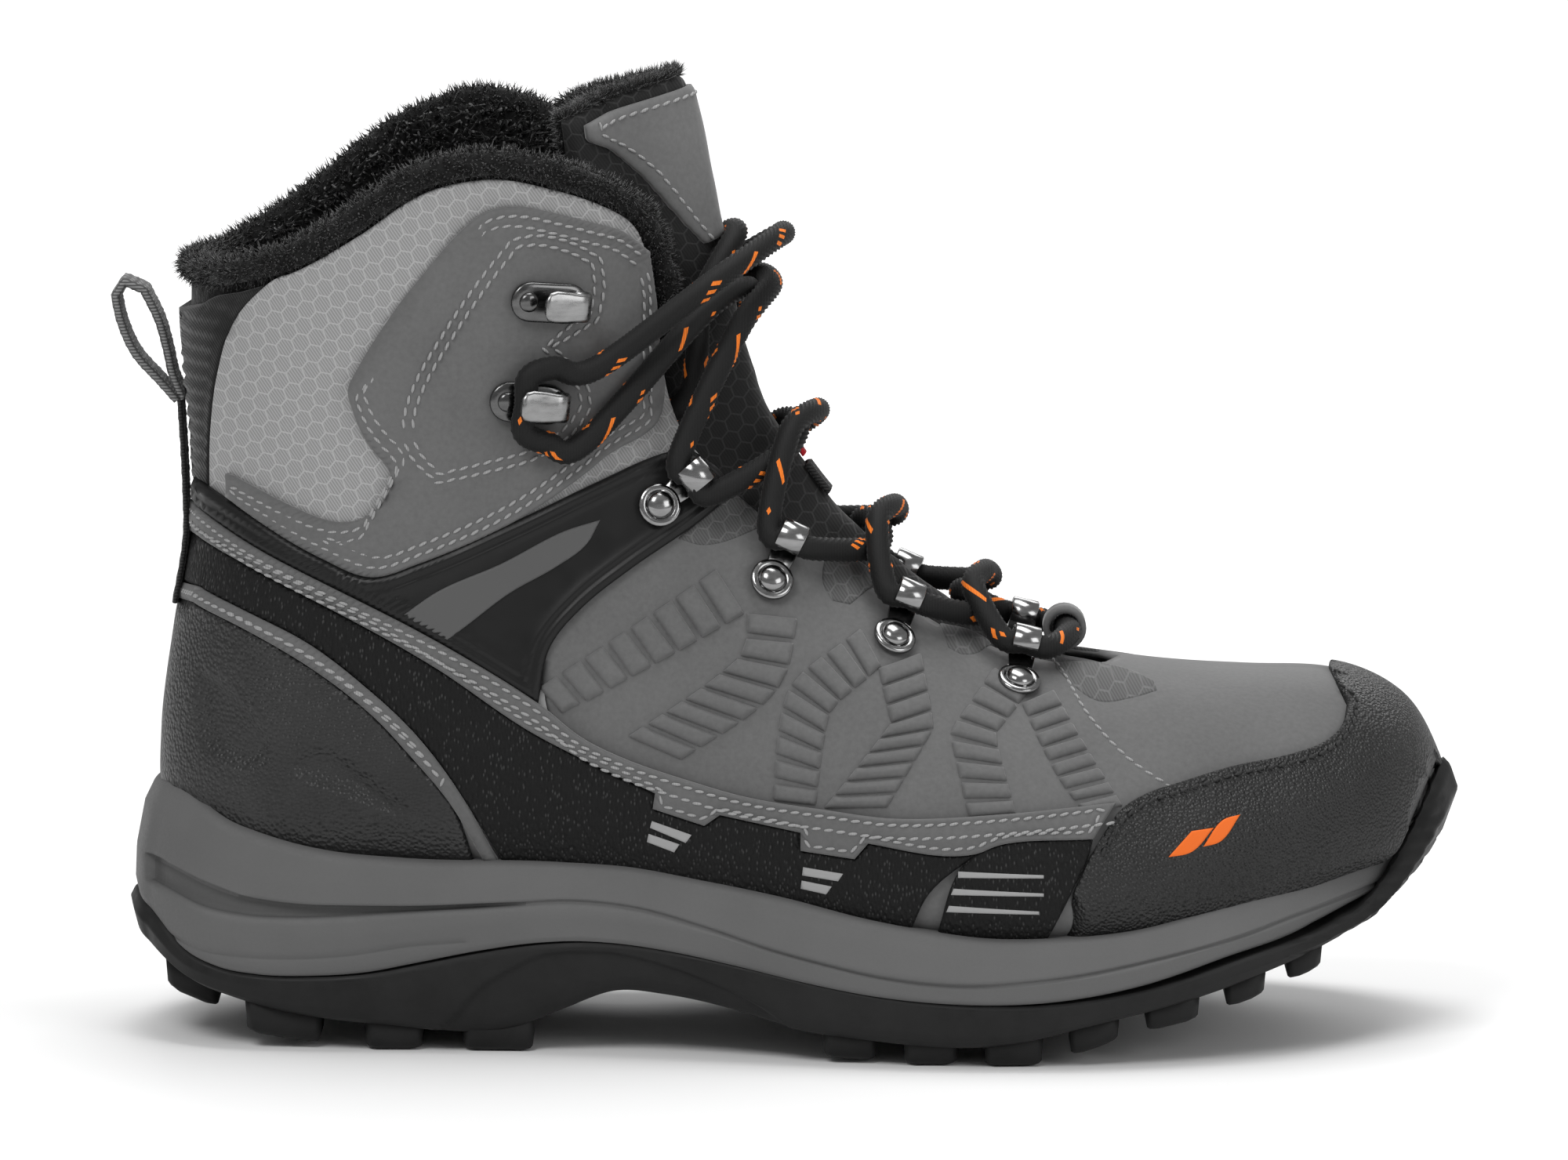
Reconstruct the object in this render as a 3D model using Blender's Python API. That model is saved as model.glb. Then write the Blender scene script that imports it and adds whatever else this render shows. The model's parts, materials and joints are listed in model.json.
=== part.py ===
"""Winter hiking boot, right foot, size EU 42-43: every sub-part as its own closed solid.

The upper is built on a "last": fanned cross-sections from the toe (0) to above the collar (18).
A point of the last has two coordinates: t, the section, and v, 0 at the sole's centreline to 1 at
the instep's centreline. Panels are slices of thin shells that lie on the last, trimmed by outlines
drawn in side view. All design sizes are in millimetres, with x from the heel, z from the ground and
the two sides alike; place() then turns the design into the real, asymmetric right boot in metres.
Frame: +X to the toe, +Z up, -Y the outer (lateral) side, origin at the bottom centre.
"""

import math
from collections import Counter

import bmesh
import bpy
import numpy as np
from mathutils import Matrix, Vector

# ---- driving dimensions (mm) ----
BOOT_LENGTH = 303.5
X_MID = 150.45
Y_MID = -4.2
GAP = 0.3
TRIM = 0.15
MERGE = 5e-4
BASE_SKIN = (-2.6, -1.0)
OVERLAY = (-0.7, 0.8)
TOP_TRIM = (1.1, 2.4)
LINING = (-7.2, -2.9)
RIM_DEPTH = -3.4
LACE_D = 5.0
RIM_R = 2.6
SEAT_BASE = BASE_SKIN[1] + GAP
SEAT_OVERLAY = OVERLAY[1] + GAP

# top x, top z, bottom x, bottom z, half width, widest height (0-1), bottom and top squareness
SECTIONS = [
    (299.5, 52, 299.5, 52, 0.0, 0.30, 2.4, 2.2),
    (298.0, 62, 297.0, 45, 13.5, 0.30, 2.4, 2.2),
    (290.5, 74, 289.0, 39, 27.5, 0.24, 2.5, 2.2),
    (276.0, 81, 273.0, 33, 38.5, 0.24, 2.7, 2.2),
    (255.0, 82.5, 252.0, 26, 47.5, 0.25, 2.8, 2.2),
    (232.0, 84.5, 228.0, 21.5, 52.0, 0.26, 2.8, 2.1),
    (211.0, 88, 202.0, 19, 53.0, 0.27, 2.8, 2.0),
    (190.5, 95, 172.0, 21, 51.0, 0.27, 2.8, 2.0),
    (172.5, 107, 137.0, 27, 47.0, 0.29, 2.8, 2.0),
    (158.5, 121.5, 98.0, 32, 43.5, 0.32, 2.8, 2.0),
    (148.0, 136, 58.0, 33, 41.0, 0.35, 2.8, 2.0),
    (141.0, 149, 27.0, 34, 40.0, 0.38, 2.7, 2.0),
    (136.0, 161, 10.5, 47, 39.0, 0.40, 2.4, 2.0),
    (132.5, 172, 8.5, 69, 38.5, 0.42, 2.3, 2.0),
    (130.0, 182, 11.5, 92, 38.5, 0.44, 2.2, 2.0),
    (128.0, 192, 15.0, 114, 39.0, 0.46, 2.1, 2.0),
    (126.0, 202, 13.5, 137, 40.0, 0.48, 2.1, 2.0),
    (123.5, 213, 12.0, 160, 41.0, 0.50, 2.1, 2.0),
    (121.0, 224, 12.5, 184, 41.5, 0.50, 2.1, 2.0),
]
LAST_END = len(SECTIONS) - 1
SHELL_ROWS = [0.5, 1.2, 2.2, 3.5, 5.2, 6.5, 7.8, 9, 10, 10.8, 11.5, 12.3, 13.5, 15.5, 18]
SHELL_COLUMNS = [0, 0.16, 0.28, 0.37, 0.48, 0.59, 0.70, 0.78, 0.86, 0.93, 1]
TONGUE_ROWS = [5.2, 6.5, 7.8, 9, 10, 10.8, 11.5, 12.3, 13.1, 13.9, 14.9, 15.9, 16.9, 17.3]
TONGUE_COLUMNS = [0.78, 0.86, 0.93, 0.95, 0.975, 1]

# plan view of the real boot: sideways shift of the centreline, and width factors of each side
BEND = [(0, 0.0), (60, 0.0), (120, -1.5), (180, -3.0), (230, -1.0), (275, 3.5), (305, 6.5)]
LATERAL = [(0, 1.0), (70, 1.0), (140, 1.04), (200, 1.06), (250, 1.03), (305, 1.0)]
MEDIAL = [(0, 1.0), (70, 0.99), (140, 0.93), (200, 0.97), (250, 0.99), (305, 1.0)]

# sole, by x: half width in plan, and the heights of its lines
SOLE_HALF = [(0, 0), (1.5, 12), (5, 20), (12, 28.5), (24, 35.5), (40, 39.5), (60, 41), (90, 42), (120, 45),
             (150, 49.5), (180, 54), (205, 56), (228, 56), (250, 52.5), (268, 45.5), (282, 35.5), (292, 25),
             (299, 14), (303.5, 0)]
TREAD = [(-2, 26), (4, 20), (12, 14.5), (24, 10.5), (40, 7.5), (56, 6), (88, 6), (98, 10), (110, 14.5),
         (122, 14), (134, 12), (144, 9.5), (152, 7.5), (165, 6), (205, 5.8), (216, 8.5), (232, 12),
         (250, 16.5), (268, 23), (282, 28.5), (292, 33.5), (304, 40)]
LUG_TIP = [(-2, 21), (3, 15), (8, 11.5), (14, 8), (24, 4.5), (36, 2), (48, 0.5), (56, 0), (95, 0), (155, 1.2),
           (178, 0), (206, 0), (216, 3), (225, 6), (247, 11), (264, 17), (275, 21.5), (291, 29), (304, 38)]
RUBBER_TOP = [(-2, 33), (1, 32), (7, 28), (13, 22), (21, 18.3), (31, 16.9), (44, 17), (56, 18), (66, 20),
              (80.5, 23), (94.5, 25.2), (103, 25.8), (113, 25.5), (124, 24.2), (139, 21.5), (154.5, 18.3),
              (170, 15.8), (185.5, 14.5), (206, 14.6), (229, 17.9), (249, 23.4), (269, 28.9), (278, 33.5),
              (285, 42), (292, 53), (298, 61.5), (305, 62)]
FOAM_BOTTOM_AT_TOE = [(269, 28.9), (280, 32.5), (305, 38)]
FOAM_TOP = [(-2, 57.5), (9, 57), (13, 54.5), (19, 51), (25, 49), (42, 45), (60, 43.4), (95, 43.4),
            (114, 42.6), (131, 40), (149, 36.8), (167, 32.8), (181, 30.5), (194, 28.9), (210, 28.9),
            (229, 30.4), (247, 34.5), (265, 39), (283, 43), (305, 44)]
# rings of the sole's walls, bottom to top: height 0-1, x of the front, x of the back, growth in plan
RUBBER_RINGS = [(0.0, 292, 6, -2.5), (0.3, 300, 1, 0.0), (0.7, BOOT_LENGTH, 0, 0.5), (1.0, 300.5, 1.5, 0.3)]
FOAM_RINGS = [(0.0, 295, 1.5, 0.3), (0.35, 295.5, 1.5, 1.2), (0.75, 295, 3.5, -0.6), (1.0, 294, 6.5, -2.4)]
SOLE_STATIONS = [0, 0.006, 0.02, 0.045, 0.08, 0.13, 0.19, 0.25, 0.31, 0.37, 0.43, 0.5, 0.57, 0.64, 0.71,
                 0.77, 0.83, 0.88, 0.92, 0.955, 0.98, 0.994, 1]
EDGE_LUGS = [(28, 45), (55, 68), (77, 93), (158, 170), (176, 188), (194, 207), (213, 224), (230, 242),
             (248, 257), (262, 270)]
CENTRE_LUGS = [(30, 44), (54, 67), (76, 90), (160, 174), (181, 195), (202, 216), (223, 237), (244, 257)]

# ---- outlines in side view (x, z) ----
RIM = [(8, 168.5), (20.5, 170.5), (38, 175), (53.5, 183.5), (69, 193.5), (78, 196), (87, 196.5), (97, 194.3),
       (109, 190), (116.5, 185)]
COLLAR_FRONT = [(116.5, 185), (119.5, 178), (121.5, 168), (122.5, 156), (124, 147), (127, 139), (131, 133.5)]
# the throat's edge on the vamp, as (t, v) on the last
THROAT_EDGE = [(9.5, 0.842), (9.0, 0.85), (8.5, 0.872), (8.0, 0.888), (7.2, 0.898), (6.5, 0.90), (5.9, 0.91),
               (5.5, 0.94)]
BAND_TOP = [(-10, 127), (16, 126.5), (28, 121), (46, 111.5), (57, 107.5), (67.5, 110.5), (88.5, 119.5),
            (107, 128), (122, 134), (128, 134.8)]
BAND_TIP = [(128, 134.8), (134, 130.5), (138.5, 125)]
BAND_FRONT = [(138.5, 125), (130.5, 119), (115, 109), (104, 100.5), (97, 92), (94.3, 79.5)]
STRIP_TOP = [(-10, 122), (16, 120.5), (28, 114.5), (49.5, 104.5), (71, 93.5), (94.3, 79.5), (104, 72),
             (113.5, 67.5), (127.5, 63), (141, 59.5), (159.5, 57), (173.5, 55.5), (199, 56.5), (223, 58.5)]
STRIP_LOW = [(-10, 115.5), (16, 114), (28, 109.5), (49.5, 99.5), (71, 87.5), (92, 73.5), (107, 66), (120.5, 60)]
STRIP_STEPS = [(120.5, 60), (120, 56.5), (131.5, 53), (135, 55.5), (153, 52), (153, 48), (165, 46.5), (168, 50),
               (185, 47.5), (192, 48), (197.5, 50), (218, 51)]
WELT_TOP = [(-10, 105), (16, 103), (28, 99), (42.5, 92.5), (56.5, 82), (67, 72), (77, 58.5), (87.5, 43)]
WELT_LOW = [(-10, 101), (15, 99.3), (28, 95), (42.5, 87.5), (56.5, 77), (66, 67), (75, 56), (84, 43)]
ANKLE = [(119, 179), (113, 184), (106.5, 186.3), (99.5, 188.5), (91.5, 190.5), (86.5, 190.5), (82, 189),
         (77, 185), (70.5, 177.5), (64, 169.5), (58.5, 161.5), (54, 154), (52, 149.5), (53, 145), (55, 140),
         (58, 135.5), (61, 132), (61.3, 127.5), (58.5, 123), (54.5, 120.5), (50.5, 119.8), (46, 120.5),
         (39, 123), (28, 127.5), (19.5, 130.3), (-10, 131)]
ANKLE_FRONT = [(106, 131), (109, 133.5), (113, 135.8), (117.5, 138), (121, 141), (122.5, 148), (121.5, 156),
               (120.5, 168), (119, 179)]
COLLAR_BACK = [(36.5, 174.6), (33, 172.5), (25, 163.5), (21, 151.5), (19, 138), (18.5, 126)]
TOE_CAP = [(276, 90), (274, 81), (276.7, 76), (275.5, 72.5), (272, 69.5), (263, 67), (250, 65.3), (238, 62.5),
           (230.5, 60.5), (224.5, 57.3), (221, 53), (217.5, 47.5), (213.5, 39), (208, 26)]
HINGE = (134.5, 186.0)
FLAP_PARTING = [(150, 182), HINGE, (119, 190.5), (98, 200), (60, 217)]
LINING_FRONT_V = 0.70
LINING_SPLIT_Z = 108
THROAT_END_T = 4.95

# ---- lace hardware: side-view point and heading of each piece ----
RINGS = [((121, 122.5), (0.77, 0.64)), ((146.5, 106), (0.42, 0.90)), ((174, 93), (0.39, 0.92)),
         ((202, 83), (0.23, 0.97))]
HOOKS = [((92, 146.5), (1.0, -0.1)), ((96.5, 169), (1.0, -0.1))]
RING_REACH = 9.6
RING_RISE = 4.1
HOOK_MOUTH = -1.6
HOOK_RISE = 4.0
PULL_ROOT = (13.0, 143.5)
# x, z along the outside of the heel's pull loop, and its thickness and width
PULL_ROUTE = [(8.2, 147.5), (2.5, 154), (-0.6, 161), (-1.9, 167), (0.2, 170.3), (4.6, 168.4), (7.9, 161.5),
              (9.8, 154.5), (10.9, 149.3)]
PULL_WIDTH = 12.0
STRAP_HALF = 6.0
PULL_THICK = 1.6


# ---- kernel ----
def spline(knots, at):
    """Smooth curve through rows of knots at 0, 1, 2..."""
    k = np.asarray(knots, float)
    slope = np.vstack([k[1] - k[0], (k[2:] - k[:-2]) / 2, k[-1] - k[-2]])
    at = np.clip(np.asarray(at, float), 0, len(k) - 1 - 1e-9)
    i = at.astype(int)
    u = (at - i)[:, None]
    rise = (3 - 2 * u) * u * u
    return k[i] * (1 - rise) + k[i + 1] * rise + slope[i] * u * (1 - u) ** 2 - slope[i + 1] * u * u * (1 - u)


def curve_at(x, table):
    """Smooth height of a table of (x, value) points."""
    k = np.array(table, float)
    slope = np.gradient(k[:, 1], k[:, 0])
    x = np.clip(x, k[0, 0], k[-1, 0])
    i = np.clip(np.searchsorted(k[:, 0], x, side="right") - 1, 0, len(k) - 2)
    step = k[i + 1, 0] - k[i, 0]
    u = (x - k[i, 0]) / step
    rise = (3 - 2 * u) * u * u
    bow = step * (slope[i] * u * (1 - u) ** 2 - slope[i + 1] * u * u * (1 - u))
    return k[i, 1] * (1 - rise) + k[i + 1, 1] * rise + bow


class Last:
    """The master surface, tabulated finely enough to interpolate between its points."""

    ROWS, COLUMNS, PROFILE = 361, 129, 120

    def __init__(self):
        knots = np.array(SECTIONS, float)
        before = knots[1].copy()
        before[[1, 3]] = 2 * knots[0, [1, 3]] - knots[1, [1, 3]]
        before[4] = -knots[1, 4]
        section = spline(np.vstack([before, knots]), np.linspace(0, LAST_END, self.ROWS) + 1)
        self.top, self.low = section[:, 0:2], section[:, 2:4]
        self.points = np.zeros((self.ROWS, self.COLUMNS, 3))
        self.rise = np.zeros((self.ROWS, self.COLUMNS))
        for row, (_, _, _, _, half, widest, square_low, square_top) in enumerate(section):
            self.trace(row, half, widest, square_low, square_top)
        across = np.concatenate([self.points[:, 1:2] * [1, -1, 1], self.points,
                                 self.points[:, -2:-1] * [1, -1, 1]], axis=1)
        normal = np.cross(across[:, 2:] - across[:, :-2], np.gradient(self.points, axis=0))
        normal[0] = [1, 0, 0]
        normal /= np.maximum(np.linalg.norm(normal, axis=2, keepdims=True), 1e-9)
        if normal[self.ROWS // 2, self.COLUMNS // 2, 1] < 0:
            normal[1:] *= -1
        self.normals = normal

    def trace(self, row, half, widest, square_low, square_top):
        """One cross-section: two quarter superellipses, spaced evenly along their length."""
        angle = np.linspace(0, math.pi / 2, self.PROFILE)
        back = angle[::-1]
        low = widest * (1 - np.cos(angle) ** (2 / square_low))
        high = 1 - (1 - widest) * (1 - np.cos(back) ** (2 / square_top))
        rise = np.concatenate([low, high[1:]])
        width = np.concatenate([np.sin(angle) ** (2 / square_low), (np.sin(back) ** (2 / square_top))[1:]]) * half
        span = self.top[row] - self.low[row]
        along = np.hypot(np.diff(rise) * max(np.hypot(*span), 1e-6), np.diff(width))
        along = np.concatenate([[0], np.cumsum(along)])
        even = np.linspace(0, along[-1], self.COLUMNS)
        rise, width = np.interp(even, along, rise), np.interp(even, along, width)
        self.rise[row] = rise
        self.points[row, :, 0] = self.low[row, 0] + rise * span[0]
        self.points[row, :, 1] = width
        self.points[row, :, 2] = self.low[row, 1] + rise * span[1]

    def at(self, t, v, offset=0.0):
        """Points at section t and height v (both signs: v < 0 is the side y < 0), lifted by offset."""
        t, v, offset = np.broadcast_arrays(*(np.asarray(a, float) for a in (t, v, offset)))
        row = np.clip(t / LAST_END * (self.ROWS - 1), 0, self.ROWS - 1.000001)
        column = np.clip(np.abs(v) * (self.COLUMNS - 1), 0, self.COLUMNS - 1.000001)
        i, j = row.astype(int), column.astype(int)
        a, c = (row - i)[..., None], (column - j)[..., None]
        mixed = []
        for grid in (self.points, self.normals):
            mixed.append((1 - a) * ((1 - c) * grid[i, j] + c * grid[i, j + 1])
                         + a * ((1 - c) * grid[i + 1, j] + c * grid[i + 1, j + 1]))
        point, normal = mixed
        normal /= np.maximum(np.linalg.norm(normal, axis=-1, keepdims=True), 1e-9)
        found = point + normal * offset[..., None]
        found[..., 1] *= np.where(v < 0, -1, 1)
        return found

    def find(self, x, z):
        """(t, v) of a side-view point."""
        span = self.top - self.low
        ahead = (x - self.low[:, 0]) * span[:, 1] - (z - self.low[:, 1]) * span[:, 0]
        ahead[0] = -1
        crossing = np.nonzero((ahead[:-1] <= 0) & (ahead[1:] > 0))[0]
        row = crossing[0] if len(crossing) else self.ROWS - 2
        part = ahead[row] / (ahead[row] - ahead[row + 1]) if len(crossing) else 1.0
        low = (1 - part) * self.low[row] + part * self.low[row + 1]
        top = (1 - part) * self.top[row] + part * self.top[row + 1]
        share = (np.array([x, z]) - low) @ (top - low) / ((top - low) @ (top - low))
        rise = (1 - part) * self.rise[row] + part * self.rise[row + 1]
        t = (row + part) / (self.ROWS - 1) * LAST_END
        return t, float(np.interp(share, rise, np.linspace(0, 1, self.COLUMNS)))


def warped(points):
    """Symmetric design points to the real right boot, both in mm; x and z stay as they are."""
    p = np.asarray(points, float)
    x, y, z = p[..., 0], p[..., 1], p[..., 2]
    low = np.clip(2 - z / 60, 0, 1)
    width = 1 + (np.where(y < 0, curve_at(x, LATERAL), curve_at(x, MEDIAL)) - 1) * low
    bend = curve_at(x, BEND) * np.clip(1 - (z - 80) / 120, 0.3, 1)
    return np.stack([x, y * width + bend, z], axis=-1)


def place(points):
    """Symmetric design points (mm) to the real right boot in the shared frame (m)."""
    return (warped(points) - [X_MID, Y_MID, 0]) / 1000


last = Last()


def unit(vector):
    return np.asarray(vector, float) / np.linalg.norm(vector)


def seat(point, heading, side, lift):
    """A frame on the boot's surface (m): x along heading, z outward. point and heading are in side view."""
    t, v = last.find(*point)
    v *= side
    step = 0.02
    origin = place(last.at(t, v, lift))
    along_t = place(last.at(t + step, v, lift)) - place(last.at(t - step, v, lift))
    along_v = place(last.at(t, v + step / 4, lift)) - place(last.at(t, v - step / 4, lift))
    outward = unit(np.cross(along_t, along_v))
    if outward[1] * side < 0:
        outward = -outward
    ahead = np.array([heading[0], 0.0, heading[1]])
    ahead = unit(ahead - outward * (ahead @ outward))
    sideways = np.cross(outward, ahead)
    return Matrix([[*row, at] for row, at in zip(np.array([ahead, sideways, outward]).T, origin)] + [[0, 0, 0, 1]])


# ---- Blender helpers ----
def clear_scene():
    for obj in list(bpy.data.objects):
        bpy.data.objects.remove(obj)


def new_collection(name):
    collection = bpy.data.collections.new(name)
    bpy.context.scene.collection.children.link(collection)
    return collection


clear_scene()
boot = new_collection("hiking_boot")
tools = new_collection("construction")


def material(name, color, roughness, metallic=0.0):
    mat = bpy.data.materials.new(name)
    mat.use_nodes = True
    shader = mat.node_tree.nodes["Principled BSDF"]
    shader.inputs["Base Color"].default_value = (*color, 1)
    shader.inputs["Roughness"].default_value = roughness
    shader.inputs["Metallic"].default_value = metallic
    return mat


FINISHES = {
    "rubber": ((0.012, 0.012, 0.013), 0.6), "foam": ((0.11, 0.11, 0.115), 0.65), "nubuck": ((0.105, 0.105, 0.11), 0.85),
    "ripstop": ((0.16, 0.16, 0.165), 0.8), "softshell": ((0.015, 0.015, 0.016), 0.85),
    "fleece": ((0.008, 0.008, 0.009), 1.0), "grained": ((0.016, 0.016, 0.017), 0.5),
    "band": ((0.013, 0.013, 0.014), 0.35), "strip": ((0.1, 0.1, 0.105), 0.8), "webbing": ((0.02, 0.02, 0.02), 0.8),
    "board": ((0.35, 0.33, 0.3), 0.9), "steel": ((0.5, 0.5, 0.52), 0.25, 1.0), "lace": ((0.02, 0.018, 0.018), 0.7),
}


def keep(mesh, name, finish):
    """Adds a finished mesh, already in metres, as one sub-part."""
    mesh.name = name
    mesh.materials.clear()
    mesh.materials.append(material(name, *FINISHES[finish]))
    obj = bpy.data.objects.new(name, mesh)
    boot.objects.link(obj)
    return obj


def construction(mesh, name):
    obj = bpy.data.objects.new(name, mesh)
    tools.objects.link(obj)
    obj.hide_render = True
    obj.display_type = "WIRE"
    return obj


def mesh_of(points, faces, name="mesh"):
    mesh = bpy.data.meshes.new(name)
    mesh.from_pydata([tuple(float(c) for c in p) for p in points], [], faces)
    bm = bmesh.new()
    bm.from_mesh(mesh)
    bmesh.ops.recalc_face_normals(bm, faces=bm.faces)
    bm.to_mesh(mesh)
    bm.free()
    return mesh


def combine(obj, cutter, operation):
    """The mesh of obj after a Boolean with cutter."""
    step = obj.modifiers.new(operation, "BOOLEAN")
    step.operation = operation
    step.object = cutter
    step.solver = "EXACT"
    graph = bpy.context.evaluated_depsgraph_get()
    mesh = bpy.data.meshes.new_from_object(obj.evaluated_get(graph))
    obj.modifiers.remove(step)
    return mesh


def tidy(mesh, merge):
    bm = bmesh.new()
    bm.from_mesh(mesh)
    bmesh.ops.remove_doubles(bm, verts=bm.verts, dist=merge)
    bmesh.ops.dissolve_degenerate(bm, dist=merge, edges=bm.edges)
    bmesh.ops.triangulate(bm, faces=bm.faces)
    corners = Counter(frozenset(face.verts) for face in bm.faces)
    fins = [face for face in bm.faces if corners[frozenset(face.verts)] > 1]
    bmesh.ops.delete(bm, geom=fins, context="FACES")
    bm.to_mesh(mesh)
    bm.free()
    return mesh


def largest_body(mesh):
    """Drops the slivers that a cut leaves beside the main body."""
    bm = bmesh.new()
    bm.from_mesh(mesh)
    bodies, unseen = [], set(bm.verts)
    while unseen:
        body, edge_of_body = set(), [unseen.pop()]
        while edge_of_body:
            vert = edge_of_body.pop()
            body.add(vert)
            reached = {edge.other_vert(vert) for edge in vert.link_edges} & unseen
            unseen -= reached
            edge_of_body += reached
        bodies.append(body)
    main_body = max(bodies, key=len)
    bmesh.ops.delete(bm, geom=[v for v in bm.verts if v not in main_body], context="VERTS")
    bm.to_mesh(mesh)
    bm.free()
    return mesh


def placed(mesh):
    """Moves a mesh of the warped boot (mm) into the shared frame (m)."""
    mesh.transform(Matrix.Scale(0.001, 4) @ Matrix.Translation((-X_MID, -Y_MID, 0)))
    return mesh


def strip_faces(lower, upper, closed=True):
    """Triangles between two rows of vertex numbers, split the same way on every shell."""
    count = len(lower)
    faces = []
    for k in range(count if closed else count - 1):
        ahead = (k + 1) % count
        faces += [(lower[k], lower[ahead], upper[ahead]), (lower[k], upper[ahead], upper[k])]
    return faces


def nose(offset):
    return last.at(0.0, 0.5, 0.0) + [offset, 0, 0]


def skin_rows(offset):
    """Rows of points once around the boot, from the toe to the mouth, at a distance from the last."""
    columns = np.array(SHELL_COLUMNS + [-v for v in SHELL_COLUMNS[-2:0:-1]])
    return [last.at(t, columns, offset) for t in SHELL_ROWS]


def closed_skin(offset):
    """The space inside the last grown by offset, as a solid."""
    rows = skin_rows(offset)
    around = len(rows[0])
    points = [nose(offset)] + [p for row in rows for p in row]
    ring = [list(range(1 + k * around, 1 + (k + 1) * around)) for k in range(len(rows))]
    faces = [(0, ring[0][k], ring[0][(k + 1) % around]) for k in range(around)]
    for low, high in zip(ring, ring[1:]):
        faces += strip_faces(low, high)
    points.append(np.mean(rows[-1], axis=0))
    faces += [(len(points) - 1, a, b) for a, b in zip(ring[-1], ring[-1][1:] + ring[-1][:1])]
    return mesh_of(warped(points), faces)


def shell_between(inner, outer):
    """A closed shell on the last, open at the boot's mouth."""
    sets = [skin_rows(inner), skin_rows(outer)]
    around, count = len(sets[0][0]), len(SHELL_ROWS)
    points, rings, faces = [], [], []
    for offset, rows in zip((inner, outer), sets):
        start = len(points)
        points += [nose(offset)] + [p for row in rows for p in row]
        rings.append([list(range(start + 1 + k * around, start + 1 + (k + 1) * around)) for k in range(count)])
        faces += [(start, rings[-1][0][k], rings[-1][0][(k + 1) % around]) for k in range(around)]
        for low, high in zip(rings[-1], rings[-1][1:]):
            faces += strip_faces(low, high)
    faces += strip_faces(rings[0][-1], rings[1][-1])
    return mesh_of(warped(points), faces)


def smooth(points, parts=2):
    """Extra points on a smooth curve through an outline's own points."""
    return [tuple(p) for p in spline(points, np.arange(0, (len(points) - 1) * parts + 1) / parts)]


def shrink(outline, by):
    """A closed outline moved inward by a distance."""
    p = np.asarray(outline, float)
    keep_it = np.linalg.norm(p - np.roll(p, 1, axis=0), axis=1) > 0.05
    p = p[keep_it]
    area = np.sum(p[:, 0] * np.roll(p[:, 1], -1) - np.roll(p[:, 0], -1) * p[:, 1])
    edge = np.roll(p, -1, axis=0) - p
    edge /= np.linalg.norm(edge, axis=1, keepdims=True)
    normal = np.stack([-edge[:, 1], edge[:, 0]], axis=1) * (1 if area > 0 else -1)
    corner = normal + np.roll(normal, 1, axis=0)
    corner /= np.maximum(np.sum(corner * corner, axis=1, keepdims=True) / 2, 0.25)
    return p + corner * by


def prism(outline, y_from, y_to):
    """A side-view outline pushed through along Y."""
    count = len(outline)
    points = [(x, y, z) for y in (y_from, y_to) for x, z in outline]
    faces = [tuple(range(count)), tuple(range(2 * count - 1, count - 1, -1))]
    faces += [(k, (k + 1) % count, count + (k + 1) % count, count + k) for k in range(count)]
    return mesh_of(points, faces)


SIDES = {"lateral": -1, "medial": 1}
ACROSS = 90.0
layers = {
    "base": construction(shell_between(*BASE_SKIN), "base_shell"),
    "overlay": construction(shell_between(*OVERLAY), "overlay_shell"),
    "trim": construction(shell_between(*TOP_TRIM), "trim_shell"),
    "lining": construction(shell_between(*LINING), "lining_shell"),
}


def cut_panel(layer, outline, side=0, trim=TRIM):
    """The part of a layer inside a side-view outline, on one side or on both."""
    y_range = {0: (-ACROSS, ACROSS), 1: (0.2, ACROSS), -1: (-ACROSS, -0.2)}[side]
    cutter = construction(prism(shrink(outline, trim), *y_range), "outline")
    mesh = combine(layers[layer], cutter, "INTERSECT")
    bpy.data.objects.remove(cutter)
    return mesh


def add_panel(name, finish, layer, outline, side=0):
    return keep(placed(tidy(cut_panel(layer, outline, side), MERGE)), name, finish)


def add_pair(name, finish, layer, outline):
    for side, sign in SIDES.items():
        add_panel(f"{name}_{side}", finish, layer, outline, sign)


# ---- the upper ----
FAR = 400.0
WELT_LINE = [(x, max(curve_at(x, FOAM_TOP), curve_at(x, RUBBER_TOP) if x > 280 else 0) + GAP)
             for x in (-10, 4, 9, 13, 19, 25, 42, 60, 95, 114, 131, 149, 167, 181, 194, 210, 229, 247, 265, 281, 286, 292,
                       298, 310)]
FEATHER = [(15, 49), *((x, z + 3.8) for _, _, x, z, *_ in SECTIONS[11:1:-1])]
HEEL_SPLIT = (103.5, 35.1)


def welt(x_from, x_to):
    """The sole's upper edge between two x, in the direction asked for."""
    inner = [p for p in WELT_LINE if min(x_from, x_to) < p[0] < max(x_from, x_to)]
    ends = [(x, float(np.interp(x, *zip(*WELT_LINE)))) for x in sorted((x_from, x_to))]
    line = [ends[0], *inner, ends[1]]
    return line if x_from < x_to else line[::-1]


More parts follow.
